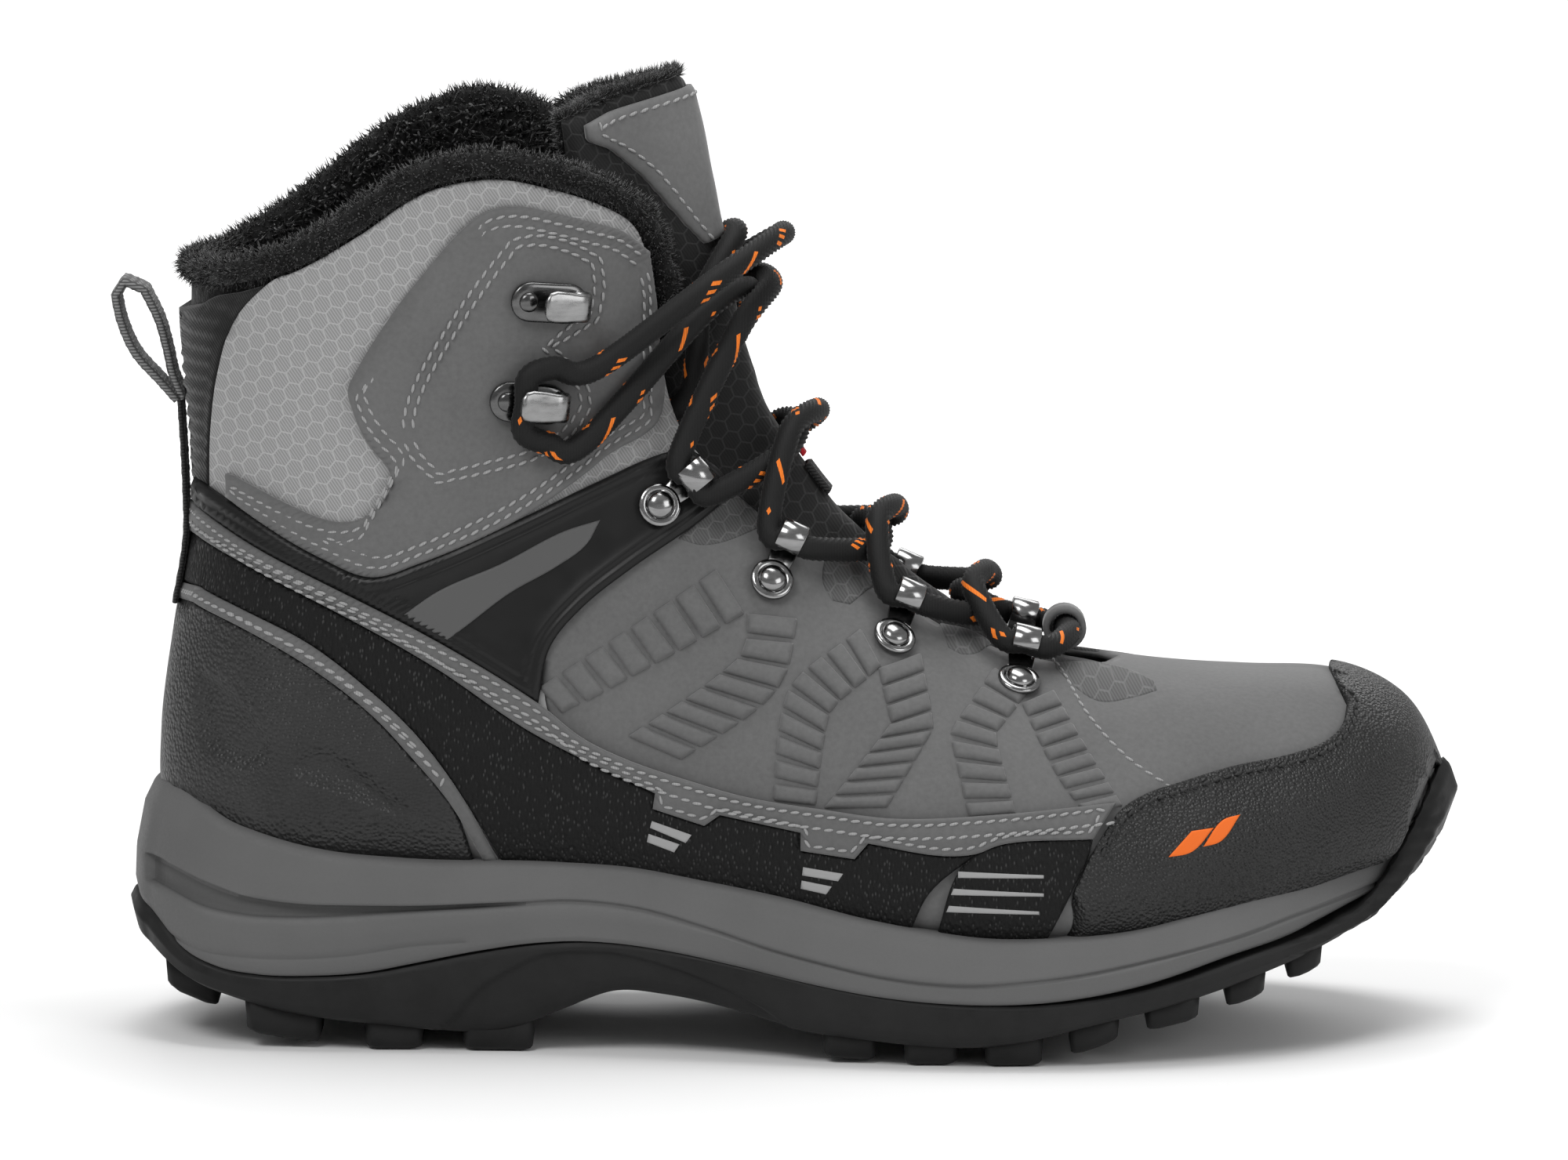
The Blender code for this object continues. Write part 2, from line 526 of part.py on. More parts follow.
def add_base_layer():
    """Textile, collar back, vamp, heel base and sole board: they tile the first layer."""
    board = [*FEATHER, (300, 46), (300, 5), (20, 5)]
    add_panel("strobel_board", "board", "base", board)
    collar = [p for p in RIM if p[0] > 37] + COLLAR_FRONT[1:] + BAND_TIP[1:]
    back = COLLAR_BACK[::-1]
    add_pair("collar_textile", "ripstop", "base", [*collar, (128, 115), (60, 98), (18.5, 114), *back])
    add_panel("collar_back", "softshell", "base",
              [(-10, 168.5), *[p for p in RIM if p[0] < 30], *COLLAR_BACK, (18.5, 114), (-10, 114)])
    under_band = [(-10, 114), (18.5, 114), (60, 98), (94, 105)]
    split = [(96, 80), (104, 45), HEEL_SPLIT]
    heel = [*under_band, *split, *[p for p in FEATHER[::-1] if p[0] < 100], (-10, 62)]
    add_pair("heel_base", "board", "base", heel)
    middle = sum(BASE_SKIN) / 2
    throat = [tuple(last.at(t, v, middle)[[0, 2]]) for t, v in THROAT_EDGE]
    x_end, _, z_end = last.at(5.3, 1.0, BASE_SKIN[0])
    vamp = [(94, 105), (128, 115), *BAND_TIP[2:], *throat, (x_end, z_end - 0.3), (x_end + 1, z_end + 8), (330, 130),
            (330, 46.3), (300, 46.3), *[p for p in FEATHER[::-1] if p[0] > 104], *split[::-1]]
    add_pair("vamp", "nubuck", "base", vamp)


def add_overlays():
    """Ankle panels, bands, strips, heel counter and toe cap: they lie on the first layer."""
    ankle = [*ANKLE[:-2], (24, 129), (24, 123.5), *[p for p in BAND_TOP if 24 < p[0] < 106], *ANKLE_FRONT[:-1]]
    add_pair("ankle_overlay", "nubuck", "overlay", ankle)
    band = [*BAND_TOP[1:], *BAND_TIP[1:], *BAND_FRONT[1:], *[p for p in STRIP_TOP[::-1] if 15 < p[0] < 94]]
    add_pair("tpu_band", "band", "overlay", band)
    add_panel("seam_strip", "strip", "overlay", [*STRIP_TOP, (218, 51), *STRIP_STEPS[-2:0:-1], *STRIP_LOW[::-1]])
    side = [*STRIP_STEPS[:-2], (181.5, 39), *welt(179.5, 87), *[p for p in WELT_TOP[::-1] if p[1] > 45],
            *STRIP_LOW[:-1]]
    add_panel("side_panel", "grained", "overlay", side)
    strip = [*WELT_TOP[:-1], *welt(86, 82), *WELT_LOW[-2::-1]]
    add_panel("counter_strip", "strip", "overlay", strip)
    add_panel("heel_counter", "grained", "overlay", [*WELT_LOW[:-1], *welt(82, -10)])
    add_panel("toe_cap", "grained", "overlay", [*TOE_CAP[:-1], *welt(210, 309), (320, 90)])
    fore = [*welt(183, 209.5), (213.2, 39.3), (217.2, 47.8), (218, 51), (197.5, 50), (192, 48), (188, 44)]
    add_pair("toe_side_panel", "grained", "overlay", fore)
    strap = cut_panel("trim", [(-10, 97), (30, 97), (30, 143), (-10, 143)])
    width = construction(block_mesh((-20, 60), (-STRAP_HALF, STRAP_HALF), (80, 160)), "strap_width")
    keep(placed(tidy(combine(construction(strap, "strap"), width, "INTERSECT"), MERGE)), "heel_strap", "webbing")


def add_inner_layers():
    """Fleece lining, footbed and shank board, inside the upper."""
    side_line = [tuple(last.at(t, LINING_FRONT_V)[[0, 2]]) for t in np.linspace(THROAT_END_T, LAST_END, 16)]
    ridge = last.at(THROAT_END_T, 1.0)
    bed_line = [(x, z + 8.3) for _, _, x, z, *_ in SECTIONS[11:1:-1]]
    upper = [(-10, 168), *[p for p in RIM if p[0] < last.at(17.0, LINING_FRONT_V)[0]]]
    front = side_line[::-1][2:]
    split = next(k for k, (x, z) in enumerate(front) if z < LINING_SPLIT_Z)
    parting = [front[split], (60, LINING_SPLIT_Z), (-10, LINING_SPLIT_Z)]
    add_pair("shaft_lining", "fleece", "lining", [*upper, *front[:split], *parting])
    foot = [*parting[::-1], *front[split + 1:], (ridge[0] + 1, ridge[2] + 8), (330, 120), (330, 50), (296, 50),
            *bed_line[::-1], (-10, 54)]
    add_pair("foot_lining", "fleece", "lining", foot)
    add_panel("footbed", "board", "lining", [*[(x, z - GAP) for x, z in bed_line], (296, 50 - GAP), (296, 5), (20, 5)])


# ---- tongue ----
def tongue_lift(t, v):
    """Height of the tongue's outer face over the last: tucked under the edges, proud along the middle."""
    tuck = -3.5 - 6.5 * np.clip((t - 10.2) / 1.4, 0, 1)
    edge = 0.92 - 0.06 * np.clip((t - 8) / 1.5, 0, 1) + 0.012 * np.clip(t - 11, 0, 1)
    crown = 1.0 + 3.0 * np.clip((t - 10.5) / 2, 0, 1) - 4.3 * np.clip((7.3 - t) / 1.4, 0, 1) - tuck
    u = np.clip((np.abs(v) - edge) / (1 - edge), 0, 1)
    return tuck + crown * (3 - 2 * u) * u * u


def tongue_piece(rows, columns, out, thick):
    """A closed pad on the tongue's face, out of it by one distance and as thick as another."""
    points, faces, sheets = [], [], []
    for drop in (0.0, thick):
        sheet = []
        for t in rows:
            sheet.append(list(range(len(points), len(points) + len(columns))))
            points += list(last.at(t, columns, tongue_lift(t, columns) + out - drop))
        sheets.append(sheet)
        for low, high in zip(sheet, sheet[1:]):
            faces += strip_faces(low, high, closed=False)
    outer, inner = sheets
    edges = [[row[0] for row in s] for s in sheets], [[row[-1] for row in s] for s in sheets]
    ends = (outer[0], inner[0]), (outer[-1], inner[-1])
    for a, b in [*edges, *ends]:
        faces += strip_faces(a, b, closed=False)
    return mesh_of(warped(points), faces)


def across_tongue(edge):
    """Columns from one side of the tongue over the middle to the other, from an edge inward."""
    half = np.array([v for v in TONGUE_COLUMNS if v >= edge])
    return np.concatenate([half[:-1], -half[::-1]])


def add_tongue():
    whole = construction(tongue_piece(TONGUE_ROWS, across_tongue(0.78), 0, 4.5), "tongue_whole")
    above = [*FLAP_PARTING, (60, 260), (200, 260), (200, 182)]
    below = [*FLAP_PARTING, (60, 40), (260, 40), (260, 182)]
    for name, outline in (("tongue", below), ("tongue_top", above)):
        cutter = construction(prism(shrink(outline, 0.3), -ACROSS, ACROSS), "half")
        keep(placed(tidy(combine(whole, cutter, "INTERSECT"), MERGE)), name, "softshell")
    patch = tongue_piece([14.55, 14.9, 15.9, 16.9], across_tongue(0.95), 1.5, 1.2)
    keep(placed(tidy(patch, MERGE)), "tongue_patch", "nubuck")
    keeper = tongue_piece([9, 9.45], across_tongue(0.975), 1.6, 1.2)
    keep(placed(tidy(keeper, MERGE)), "lace_keeper", "webbing")


# ---- sole ----
def sole_block(rings, low, high, grow=0.0):
    """A solid between two lines of heights, its wall following the sole's plan at each ring."""
    stations = np.array(SOLE_STATIONS)
    half = curve_at(stations * BOOT_LENGTH, SOLE_HALF)
    half[[0, -1]] = 0
    points, loops = [], []
    for height, front, back, swell in rings:
        x = back - grow + (front - back + 2 * grow) * stations
        width = np.maximum(half + (swell + grow) * np.sqrt(half / half.max()), 0)
        z = low(x) - grow + (high(x) - low(x) + 2 * grow) * height
        left = [(a, b, c) for a, b, c in zip(x, width, z)]
        right = [(a, -b, c) for a, b, c in zip(x[-2:0:-1], width[-2:0:-1], z[-2:0:-1])]
        loops.append(list(range(len(points), len(points) + len(left) + len(right))))
        points += left + right
    faces = []
    for a, b in zip(loops, loops[1:]):
        faces += strip_faces(a, b)
    last_station = len(stations) - 1
    for loop in (loops[0], loops[-1]):
        around = len(loop)
        for k in range(last_station):
            corners = [loop[k], loop[k + 1], loop[(around - k - 1) % around], loop[(around - k) % around]]
            faces.append(tuple(dict.fromkeys(corners)))
    return mesh_of(warped(points), faces)


def lug(x_from, x_to, y_in, y_out, twist=0.0):
    """A tapered block standing down from the tread."""
    points = []
    for lift, inset in ((0.0, 0.7), (1.0, 0.0)):
        corners = [(x_from + inset, y_in + inset), (x_to - inset, y_in + inset),
                   (x_to - inset + twist, y_out - inset), (x_from + inset + twist, y_out - inset)]
        for x, y in corners:
            z = np.interp(x, *zip(*LUG_TIP)) if lift == 0 else curve_at(x, TREAD) + 2.0
            points.append((x, y, float(z)))
    faces = [(0, 1, 2, 3), (4, 5, 6, 7), (0, 1, 5, 4), (1, 2, 6, 5), (2, 3, 7, 6), (3, 0, 4, 7)]
    return points, faces


def mirrored(points):
    return [(x, -y, z) for x, y, z in points]


def all_lugs():
    points, faces = [], []

    def add(block):
        start = len(points)
        points.extend(block[0])
        faces.extend(tuple(start + k for k in face) for face in block[1])

    for x_from, x_to in EDGE_LUGS:
        half = float(curve_at((x_from + x_to) / 2, SOLE_HALF))
        block = lug(x_from, x_to, half - 23, half - 3.2)
        add(block)
        add((mirrored(block[0]), block[1]))
    for x_from, x_to in CENTRE_LUGS:
        add(lug(x_from, x_to, -9, 9))
    add(lug(9, 21, -17, 17))
    add(lug(275, 285, -16, 16))
    return mesh_of(warped(points), faces)


def add_sole():
    foam_low = lambda x: np.where(x > 269, curve_at(x, FOAM_BOTTOM_AT_TOE), curve_at(x, RUBBER_TOP)) + GAP
    foam_top = lambda x: curve_at(x, FOAM_TOP)
    foam = construction(sole_block(FOAM_RINGS, foam_low, foam_top), "foam_block")
    foam_space = construction(sole_block(FOAM_RINGS, foam_low, lambda x: foam_top(x) + 30, GAP + 0.2), "foam_space")
    foot = construction(closed_skin(SEAT_BASE), "foot_space")
    pocket = construction(shell_between(BASE_SKIN[1], OVERLAY[1] + GAP), "shank_shell")
    slot = construction(block_mesh((95.5, 184.5), (-14.5, 14.5), (5, 40)), "shank_slot")
    shank_slot = construction(combine(pocket, slot, "INTERSECT"), "shank_pocket")
    pocketed = construction(combine(foam, shank_slot, "DIFFERENCE"), "pocketed")
    keep(placed(largest_body(tidy(combine(pocketed, foot, "DIFFERENCE"), MERGE))), "midsole", "foam")
    plate = construction(block_mesh((96, 184), (-14, 14), (5, 40)), "shank_plate")
    keep(placed(tidy(combine(layers["overlay"], plate, "INTERSECT"), MERGE)), "shank", "steel")
    rubber = construction(sole_block(RUBBER_RINGS, lambda x: curve_at(x, TREAD), lambda x: curve_at(x, RUBBER_TOP)),
                          "rubber_block")
    with_lugs = construction(combine(rubber, construction(all_lugs(), "lugs"), "UNION"), "lugged")
    hollow = construction(combine(with_lugs, foam_space, "DIFFERENCE"), "hollow")
    keep(placed(largest_body(tidy(combine(hollow, foot, "DIFFERENCE"), MERGE))), "outsole", "rubber")


def block_mesh(xs, ys, zs):
    return mesh_of([(x, y, z) for x in xs for y in ys for z in zs],
                   [(0, 1, 3, 2), (4, 6, 7, 5), (0, 4, 5, 1), (2, 3, 7, 6), (0, 2, 6, 4), (1, 5, 7, 3)])


# ---- tubes and bent strips ----
def tube(name, finish, points, radius, sides=2):
    """A round cord through points in metres."""
    data = bpy.data.curves.new(name, "CURVE")
    data.dimensions = "3D"
    data.bevel_depth = radius / 1000
    data.bevel_resolution = sides
    data.use_fill_caps = True
    line = data.splines.new("POLY")
    line.points.add(len(points) - 1)
    for at, p in zip(line.points, points):
        at.co = (*p, 1)
    shape = bpy.data.objects.new(name + "_curve", data)
    tools.objects.link(shape)
    graph = bpy.context.evaluated_depsgraph_get()
    mesh = bpy.data.meshes.new_from_object(shape.evaluated_get(graph))
    bpy.data.objects.remove(shape)
    bm = bmesh.new()
    bm.from_mesh(mesh)
    bmesh.ops.remove_doubles(bm, verts=bm.verts, dist=1e-6)
    bmesh.ops.recalc_face_normals(bm, faces=bm.faces)
    bm.to_mesh(mesh)
    bm.free()
    return keep(mesh, name, finish)


def band_profile(route, thickness):
    """Outline of a strip that follows a route in a plane: up one side and back along the other."""
    p = np.asarray(route, float)
    along = np.gradient(p, axis=0)
    along /= np.linalg.norm(along, axis=1, keepdims=True)
    across = np.stack([-along[:, 1], along[:, 0]], axis=1) * thickness / 2
    return [*(p + across), *(p - across)[::-1]]


def arc(centre, radius, start, end, parts):
    """Points on an arc, angles in degrees."""
    angles = np.radians(np.linspace(start, end, parts + 1))
    return [(centre[0] + radius * math.cos(a), centre[1] + radius * math.sin(a)) for a in angles]


def set_on(mesh, frame, name, finish):
    """Puts a local mesh (mm) on a frame (m)."""
    mesh.transform(frame @ Matrix.Scale(0.001, 4))
    bm = bmesh.new()
    bm.from_mesh(mesh)
    bmesh.ops.recalc_face_normals(bm, faces=bm.faces)
    bm.to_mesh(mesh)
    bm.free()
    return keep(mesh, name, finish)


def turned(profile, parts=12):
    """A closed round piece from (radius, height) points."""
    points, loops = [], []
    for radius, height in profile:
        loops.append(list(range(len(points), len(points) + parts)))
        points += [(radius * math.cos(a), radius * math.sin(a), height)
                   for a in np.linspace(0, 2 * math.pi, parts, endpoint=False)]
    faces = [tuple(loops[0]), tuple(loops[-1])]
    for low, high in zip(loops, loops[1:]):
        faces += strip_faces(low, high)
    return mesh_of(points, faces)


# ---- lace hardware ----
def ring_mesh():
    """A riveted eyelet: round plate and rivet head, and a strap rolled round the lace at its end."""
    strap = band_profile([(-1, 0.9), (5.4, 0.9), *arc((RING_REACH, RING_RISE), 3.4, -115, 160, 9)], 1.1)
    body = construction(prism(strap, -2.7, 2.7), "strap")
    return combine(body, construction(turned([(4.7, 0.1), (4.7, 1.4), (3.6, 1.4), (3.3, 2.3), (1.8, 2.9)]), "head"),
                   "UNION")


def hook_mesh():
    """A speed hook: base plate, bend at the throat side and tongue back over the lace."""
    bend = arc((4.6, HOOK_RISE), 3.3, -90, 90, 6)
    strap = band_profile([(-8, HOOK_RISE - 3.3), (0, HOOK_RISE - 3.3), *bend, (-3.5, HOOK_RISE + 3.3)], 1.1)
    body = construction(prism(strap, -4.6, 4.6), "hook_strap")
    rounded = [*arc((-4.0, 0), 4.5, 90, 270, 6), *arc((4.2, 0), 4.5, -90, 90, 6)]
    cutter = prism(rounded, -2, 12)
    cutter.transform(Matrix.Rotation(math.pi / 2, 4, "X"))
    return combine(body, construction(cutter, "hook_outline"), "INTERSECT")


def ring_frame(index, sign):
    lift = SEAT_OVERLAY if index == 0 else SEAT_BASE + 0.25
    point, heading = RINGS[index]
    return seat(point, heading, sign, lift)


def hook_frame(index, sign):
    point, heading = HOOKS[index]
    return seat(point, heading, sign, SEAT_OVERLAY)


def add_hardware():
    ring, hook = ring_mesh(), hook_mesh()
    for side, sign in SIDES.items():
        for index in range(len(RINGS)):
            set_on(ring.copy(), ring_frame(index, sign), f"lace_ring_{side}_{index + 1}", "steel")
        for index, level in enumerate(("lower", "upper")):
            set_on(hook.copy(), hook_frame(index, sign), f"lace_hook_{side}_{level}", "steel")


# ---- lace ----
def ring_pass(index, sign):
    """Three points through a ring, from its toe side to its ankle side (m)."""
    frame = ring_frame(index, sign)
    toe = 1 if (frame.to_3x3() @ Vector((0, 1, 0))).x > 0 else -1
    return [frame @ Vector((RING_REACH / 1000, y * toe / 1000, RING_RISE / 1000)) for y in (5.5, 0, -5.5)]


def hook_pass(sign):
    """Points round the lower hook: in along its lower edge, under its tongue, out along its upper edge (m)."""
    frame = hook_frame(0, sign)
    up = 1 if (frame.to_3x3() @ Vector((0, 1, 0))).z > 0 else -1
    local = [(13, -7.6, 3.2), (4, -8.2, 3.4), (HOOK_MOUTH, -6.0, HOOK_RISE), (HOOK_MOUTH, 0, HOOK_RISE),
             (HOOK_MOUTH, 6.0, HOOK_RISE), (4, 8.6, 3.6), (14, 9.4, 3.4)]
    return [frame @ Vector((x / 1000, y * up / 1000, z / 1000)) for x, y, z in local]


def over(t, v, sign, lift):
    """A point over the tongue (m); v is 1 on its middle."""
    return Vector(place(last.at(t, v * sign, lift)))


TOE_LOOP = (213.0, 91.2)
CROSSINGS = [7.0, 8.35, 9.95]
LOW_STRAND = 4.8
HIGH_STRAND = 10.0


def lace_half(sign, over_first):
    """One half of the lace, from the toe loop's middle up to its tucked end."""
    points = [*ring_pass(3, sign)]
    here = sign
    for count, t in enumerate(CROSSINGS):
        lift = HIGH_STRAND if (count % 2 == 0) == over_first else LOW_STRAND
        points += [over(t + 0.1, 0.925, here, lift - 1.5), over(t, 1.0, 1, lift), over(t - 0.1, 0.925, -here, lift - 1.5)]
        here = -here
        points += ring_pass(2 - count, here)
    lift = (LOW_STRAND if over_first else HIGH_STRAND) + 2.6
    points += [over(12.1, 0.93, here, lift - 2.0), over(12.45, 1.0, 1, lift), over(12.75, 0.91, -here, lift - 1.2)]
    here = -here
    points += hook_pass(here)
    lift = HIGH_STRAND + 8.4 if over_first else LOW_STRAND + 3.2
    points += [over(13.55, 0.90, here, lift - 3.0), over(13.45 if over_first else 13.75, 1.0, 1, lift)]
    here = -here
    points += [over(12.85, 0.93, here, 3.6 if over_first else 2.4), over(12.0, 0.905, here, 1.0),
               over(11.5, 0.885, here, -3.2), over(11.6, 0.85, here, -6.8), over(12.4, 0.82, here, -6.9),
               over(13.2, 0.81, here, -6.9)]
    return points


def resample(points, step):
    """Points along a smooth curve through the given ones, about one step apart (m)."""
    p = np.array([tuple(q) for q in points])
    out = [p[0]]
    slope = np.vstack([p[1] - p[0], (p[2:] - p[:-2]) / 2, p[-1] - p[-2]])
    for k in range(len(p) - 1):
        parts = max(1, round(float(np.linalg.norm(p[k + 1] - p[k])) / step))
        for u in np.arange(1, parts + 1) / parts:
            rise = (3 - 2 * u) * u * u
            out.append(p[k] * (1 - rise) + p[k + 1] * rise + slope[k] * u * (1 - u) ** 2
                       - slope[k + 1] * u * u * (1 - u))
    return out


def lace_route():
    toe = [Vector(place((TOE_LOOP[0] + dx, y, TOE_LOOP[1] + dz)))
           for dx, y, dz in ((0.8, -8, -0.3), (0, 0, 0), (0.8, 8, -0.3))]
    return lace_half(-1, True)[::-1] + toe + lace_half(1, False)


def add_lace():
    route = resample(lace_route(), 0.012)
    tube("lace", "lace", route, LACE_D / 2)
    for side, ends in (("medial", (route[1], route[0])), ("lateral", (route[-2], route[-1]))):
        ahead = unit(ends[1] - ends[0])
        start = ends[1] + ahead * 0.0005
        tube(f"aglet_{side}", "webbing", [start, start + ahead * 0.009, start + ahead * 0.018], 1.6, 1)
    loop = prism([*arc((0, 0), 4.6, 0, 360, 14)[:-1]], -4, 4)
    hole = prism([*arc((0, 0), 3.1, 0, 360, 12)[:-1]], -6, 6)
    shape = combine(construction(loop, "toe_loop_outer"), construction(hole, "toe_loop_hole"), "DIFFERENCE")
    shape.transform(Matrix.Translation(warped((TOE_LOOP[0], 0, TOE_LOOP[1]))))
    keep(placed(tidy(shape, MERGE)), "toe_lace_loop", "nubuck")


# ---- collar rim and pull loop ----
def add_rim():
    """The fleece roll along the collar's edge, from one side of the throat round the back to the other."""
    half = []
    edge = np.array(smooth(RIM) + smooth(COLLAR_FRONT[:4])[1:])
    along = np.gradient(edge, axis=0)
    along /= np.linalg.norm(along, axis=1, keepdims=True)
    outward = np.stack([-along[:, 1], along[:, 0]], axis=1)
    for x, z in edge + outward * (RIM_R + 1.4):
        if x > 14:
            t, v = last.find(x, z)
            half.append(last.at(t, v, RIM_DEPTH))
    back = last.at(last.find(14.0, RIM[0][1] + 3.4)[0] + 0.1, 0.0, RIM_DEPTH)
    back[2] = half[0][2]
    medial = [place(p) for p in half]
    lateral = [place(p * [1, -1, 1]) for p in half]
    line = lateral[::-1] + [place(back)] + medial
    tube("collar_rim", "fleece", resample(line, 0.015), RIM_R)


def add_pull_loop():
    """A webbing loop on the heel strap; its empty is on the hinge axis at the stitched root."""
    outline = band_profile(PULL_ROUTE, PULL_THICK)
    mesh = tidy(prism(outline, -PULL_WIDTH / 2, PULL_WIDTH / 2), MERGE)
    loop = keep(placed(mesh), "pull_loop", "webbing")
    pivot(loop, PULL_ROOT, "pull_loop_hinge")


def pivot(obj, point, name):
    """Parents a moving piece to an empty on its joint's axis, leaving it where it is."""
    empty = bpy.data.objects.get(name) or bpy.data.objects.new(name, None)
    if name not in boot.objects:
        boot.objects.link(empty)
    at = place((point[0], 0, point[1]))
    empty.location = at
    obj.parent = empty
    obj.matrix_parent_inverse = Matrix.Translation(at).inverted()


def main():
    add_base_layer()
    add_overlays()
    add_inner_layers()
    add_tongue()
    add_sole()
    add_hardware()
    add_lace()
    add_rim()
    add_pull_loop()
    for name in ("tongue_top", "tongue_patch"):
        pivot(bpy.data.objects[name], HINGE, "tongue_hinge")
    for obj in list(tools.objects):
        bpy.data.objects.remove(obj)


main()
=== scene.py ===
"""Looks of the winter hiking boot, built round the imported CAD.

Design sizes are in mm: x from the heel, z from the ground, both sides alike. place() warps them to the
real right boot in metres. On the last, t is the section (0 at the toe, 18 above the collar) and v is the
share of a section's half outline, 0 at the sole's centreline and 1 at the instep's; v < 0 is the outer side.
"""

import json
import math

import bmesh
import bpy
import numpy as np
from mathutils import Matrix, Vector, kdtree, noise
from mathutils.geometry import delaunay_2d_cdt

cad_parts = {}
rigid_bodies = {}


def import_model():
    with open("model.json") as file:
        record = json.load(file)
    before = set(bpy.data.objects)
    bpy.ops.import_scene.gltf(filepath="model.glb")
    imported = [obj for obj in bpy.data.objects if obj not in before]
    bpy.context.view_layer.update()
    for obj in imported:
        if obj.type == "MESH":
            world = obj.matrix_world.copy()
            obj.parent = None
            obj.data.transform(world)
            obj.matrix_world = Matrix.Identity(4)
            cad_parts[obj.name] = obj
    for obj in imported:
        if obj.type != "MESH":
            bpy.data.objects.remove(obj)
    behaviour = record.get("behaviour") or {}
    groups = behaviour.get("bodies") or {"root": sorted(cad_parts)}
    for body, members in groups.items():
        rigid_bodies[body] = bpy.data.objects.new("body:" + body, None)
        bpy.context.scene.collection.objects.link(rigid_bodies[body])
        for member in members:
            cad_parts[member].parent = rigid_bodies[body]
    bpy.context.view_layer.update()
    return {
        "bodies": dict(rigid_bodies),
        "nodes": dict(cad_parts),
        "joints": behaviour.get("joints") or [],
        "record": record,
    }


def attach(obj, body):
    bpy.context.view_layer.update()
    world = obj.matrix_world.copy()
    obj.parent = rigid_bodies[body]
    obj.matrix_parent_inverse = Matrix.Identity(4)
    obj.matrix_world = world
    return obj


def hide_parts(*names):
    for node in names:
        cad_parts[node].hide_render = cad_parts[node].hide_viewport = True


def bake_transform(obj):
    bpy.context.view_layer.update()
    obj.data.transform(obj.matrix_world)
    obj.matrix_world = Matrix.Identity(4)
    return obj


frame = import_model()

BOOT_LENGTH = 303.5
X_MID, Y_MID = 150.45, -4.2
SECTIONS = [
    (299.5, 52, 299.5, 52, 0.0, 0.30, 2.4, 2.2), (298.0, 62, 297.0, 45, 13.5, 0.30, 2.4, 2.2),
    (290.5, 74, 289.0, 39, 27.5, 0.24, 2.5, 2.2), (276.0, 81, 273.0, 33, 38.5, 0.24, 2.7, 2.2),
    (255.0, 82.5, 252.0, 26, 47.5, 0.25, 2.8, 2.2), (232.0, 84.5, 228.0, 21.5, 52.0, 0.26, 2.8, 2.1),
    (211.0, 88, 202.0, 19, 53.0, 0.27, 2.8, 2.0), (190.5, 95, 172.0, 21, 51.0, 0.27, 2.8, 2.0),
    (172.5, 107, 137.0, 27, 47.0, 0.29, 2.8, 2.0), (158.5, 121.5, 98.0, 32, 43.5, 0.32, 2.8, 2.0),
    (148.0, 136, 58.0, 33, 41.0, 0.35, 2.8, 2.0), (141.0, 149, 27.0, 34, 40.0, 0.38, 2.7, 2.0),
    (136.0, 161, 10.5, 47, 39.0, 0.40, 2.4, 2.0), (132.5, 172, 8.5, 69, 38.5, 0.42, 2.3, 2.0),
    (130.0, 182, 11.5, 92, 38.5, 0.44, 2.2, 2.0), (128.0, 192, 15.0, 114, 39.0, 0.46, 2.1, 2.0),
    (126.0, 202, 13.5, 137, 40.0, 0.48, 2.1, 2.0), (123.5, 213, 12.0, 160, 41.0, 0.50, 2.1, 2.0),
    (121.0, 224, 12.5, 184, 41.5, 0.50, 2.1, 2.0),
]
LAST_END = len(SECTIONS) - 1
BEND = [(0, 0.0), (60, 0.0), (120, -1.5), (180, -3.0), (230, -1.0), (275, 3.5), (305, 6.5)]
LATERAL = [(0, 1.0), (70, 1.0), (140, 1.04), (200, 1.06), (250, 1.03), (305, 1.0)]
MEDIAL = [(0, 1.0), (70, 0.99), (140, 0.93), (200, 0.97), (250, 0.99), (305, 1.0)]
SOLE_HALF = [(0, 0), (1.5, 12), (5, 20), (12, 28.5), (24, 35.5), (40, 39.5), (60, 41), (90, 42), (120, 45),
             (150, 49.5), (180, 54), (205, 56), (228, 56), (250, 52.5), (268, 45.5), (282, 35.5), (292, 25),
             (299, 14), (BOOT_LENGTH, 0)]
TREAD = [(-2, 26), (4, 20), (12, 14.5), (24, 10.5), (40, 7.5), (56, 6), (88, 6), (98, 10), (110, 14.5),
         (122, 14), (134, 12), (144, 9.5), (152, 7.5), (165, 6), (205, 5.8), (216, 8.5), (232, 12),
         (250, 16.5), (268, 23), (282, 28.5), (292, 33.5), (304, 40)]
LUG_TIP = [(-2, 21), (3, 15), (8, 11.5), (14, 8), (24, 4.5), (36, 2), (48, 0.5), (56, 0), (95, 0), (155, 1.2),
           (178, 0), (206, 0), (216, 3), (225, 6), (247, 11), (264, 17), (275, 21.5), (291, 29), (304, 38)]
RUBBER_TOP = [(-2, 33), (1, 32), (7, 28), (13, 22), (21, 18.3), (31, 16.9), (44, 17), (56, 18), (66, 20),
              (80.5, 23), (94.5, 25.2), (103, 25.8), (113, 25.5), (124, 24.2), (139, 21.5), (154.5, 18.3),
              (170, 15.8), (185.5, 14.5), (206, 14.6), (229, 17.9), (249, 23.4), (269, 28.9), (278, 33.5),
              (285, 42), (292, 53), (298, 61.5), (305, 62)]
FOAM_LOW_TOE = [(269, 28.9), (280, 32.5), (305, 38)]
FOAM_TOP = [(-2, 57.5), (9, 57), (13, 54.5), (19, 51), (25, 49), (42, 45), (60, 43.4), (95, 43.4),
            (114, 42.6), (131, 40), (149, 36.8), (167, 32.8), (181, 30.5), (194, 28.9), (210, 28.9),
            (229, 30.4), (247, 34.5), (265, 39), (283, 43), (305, 44)]
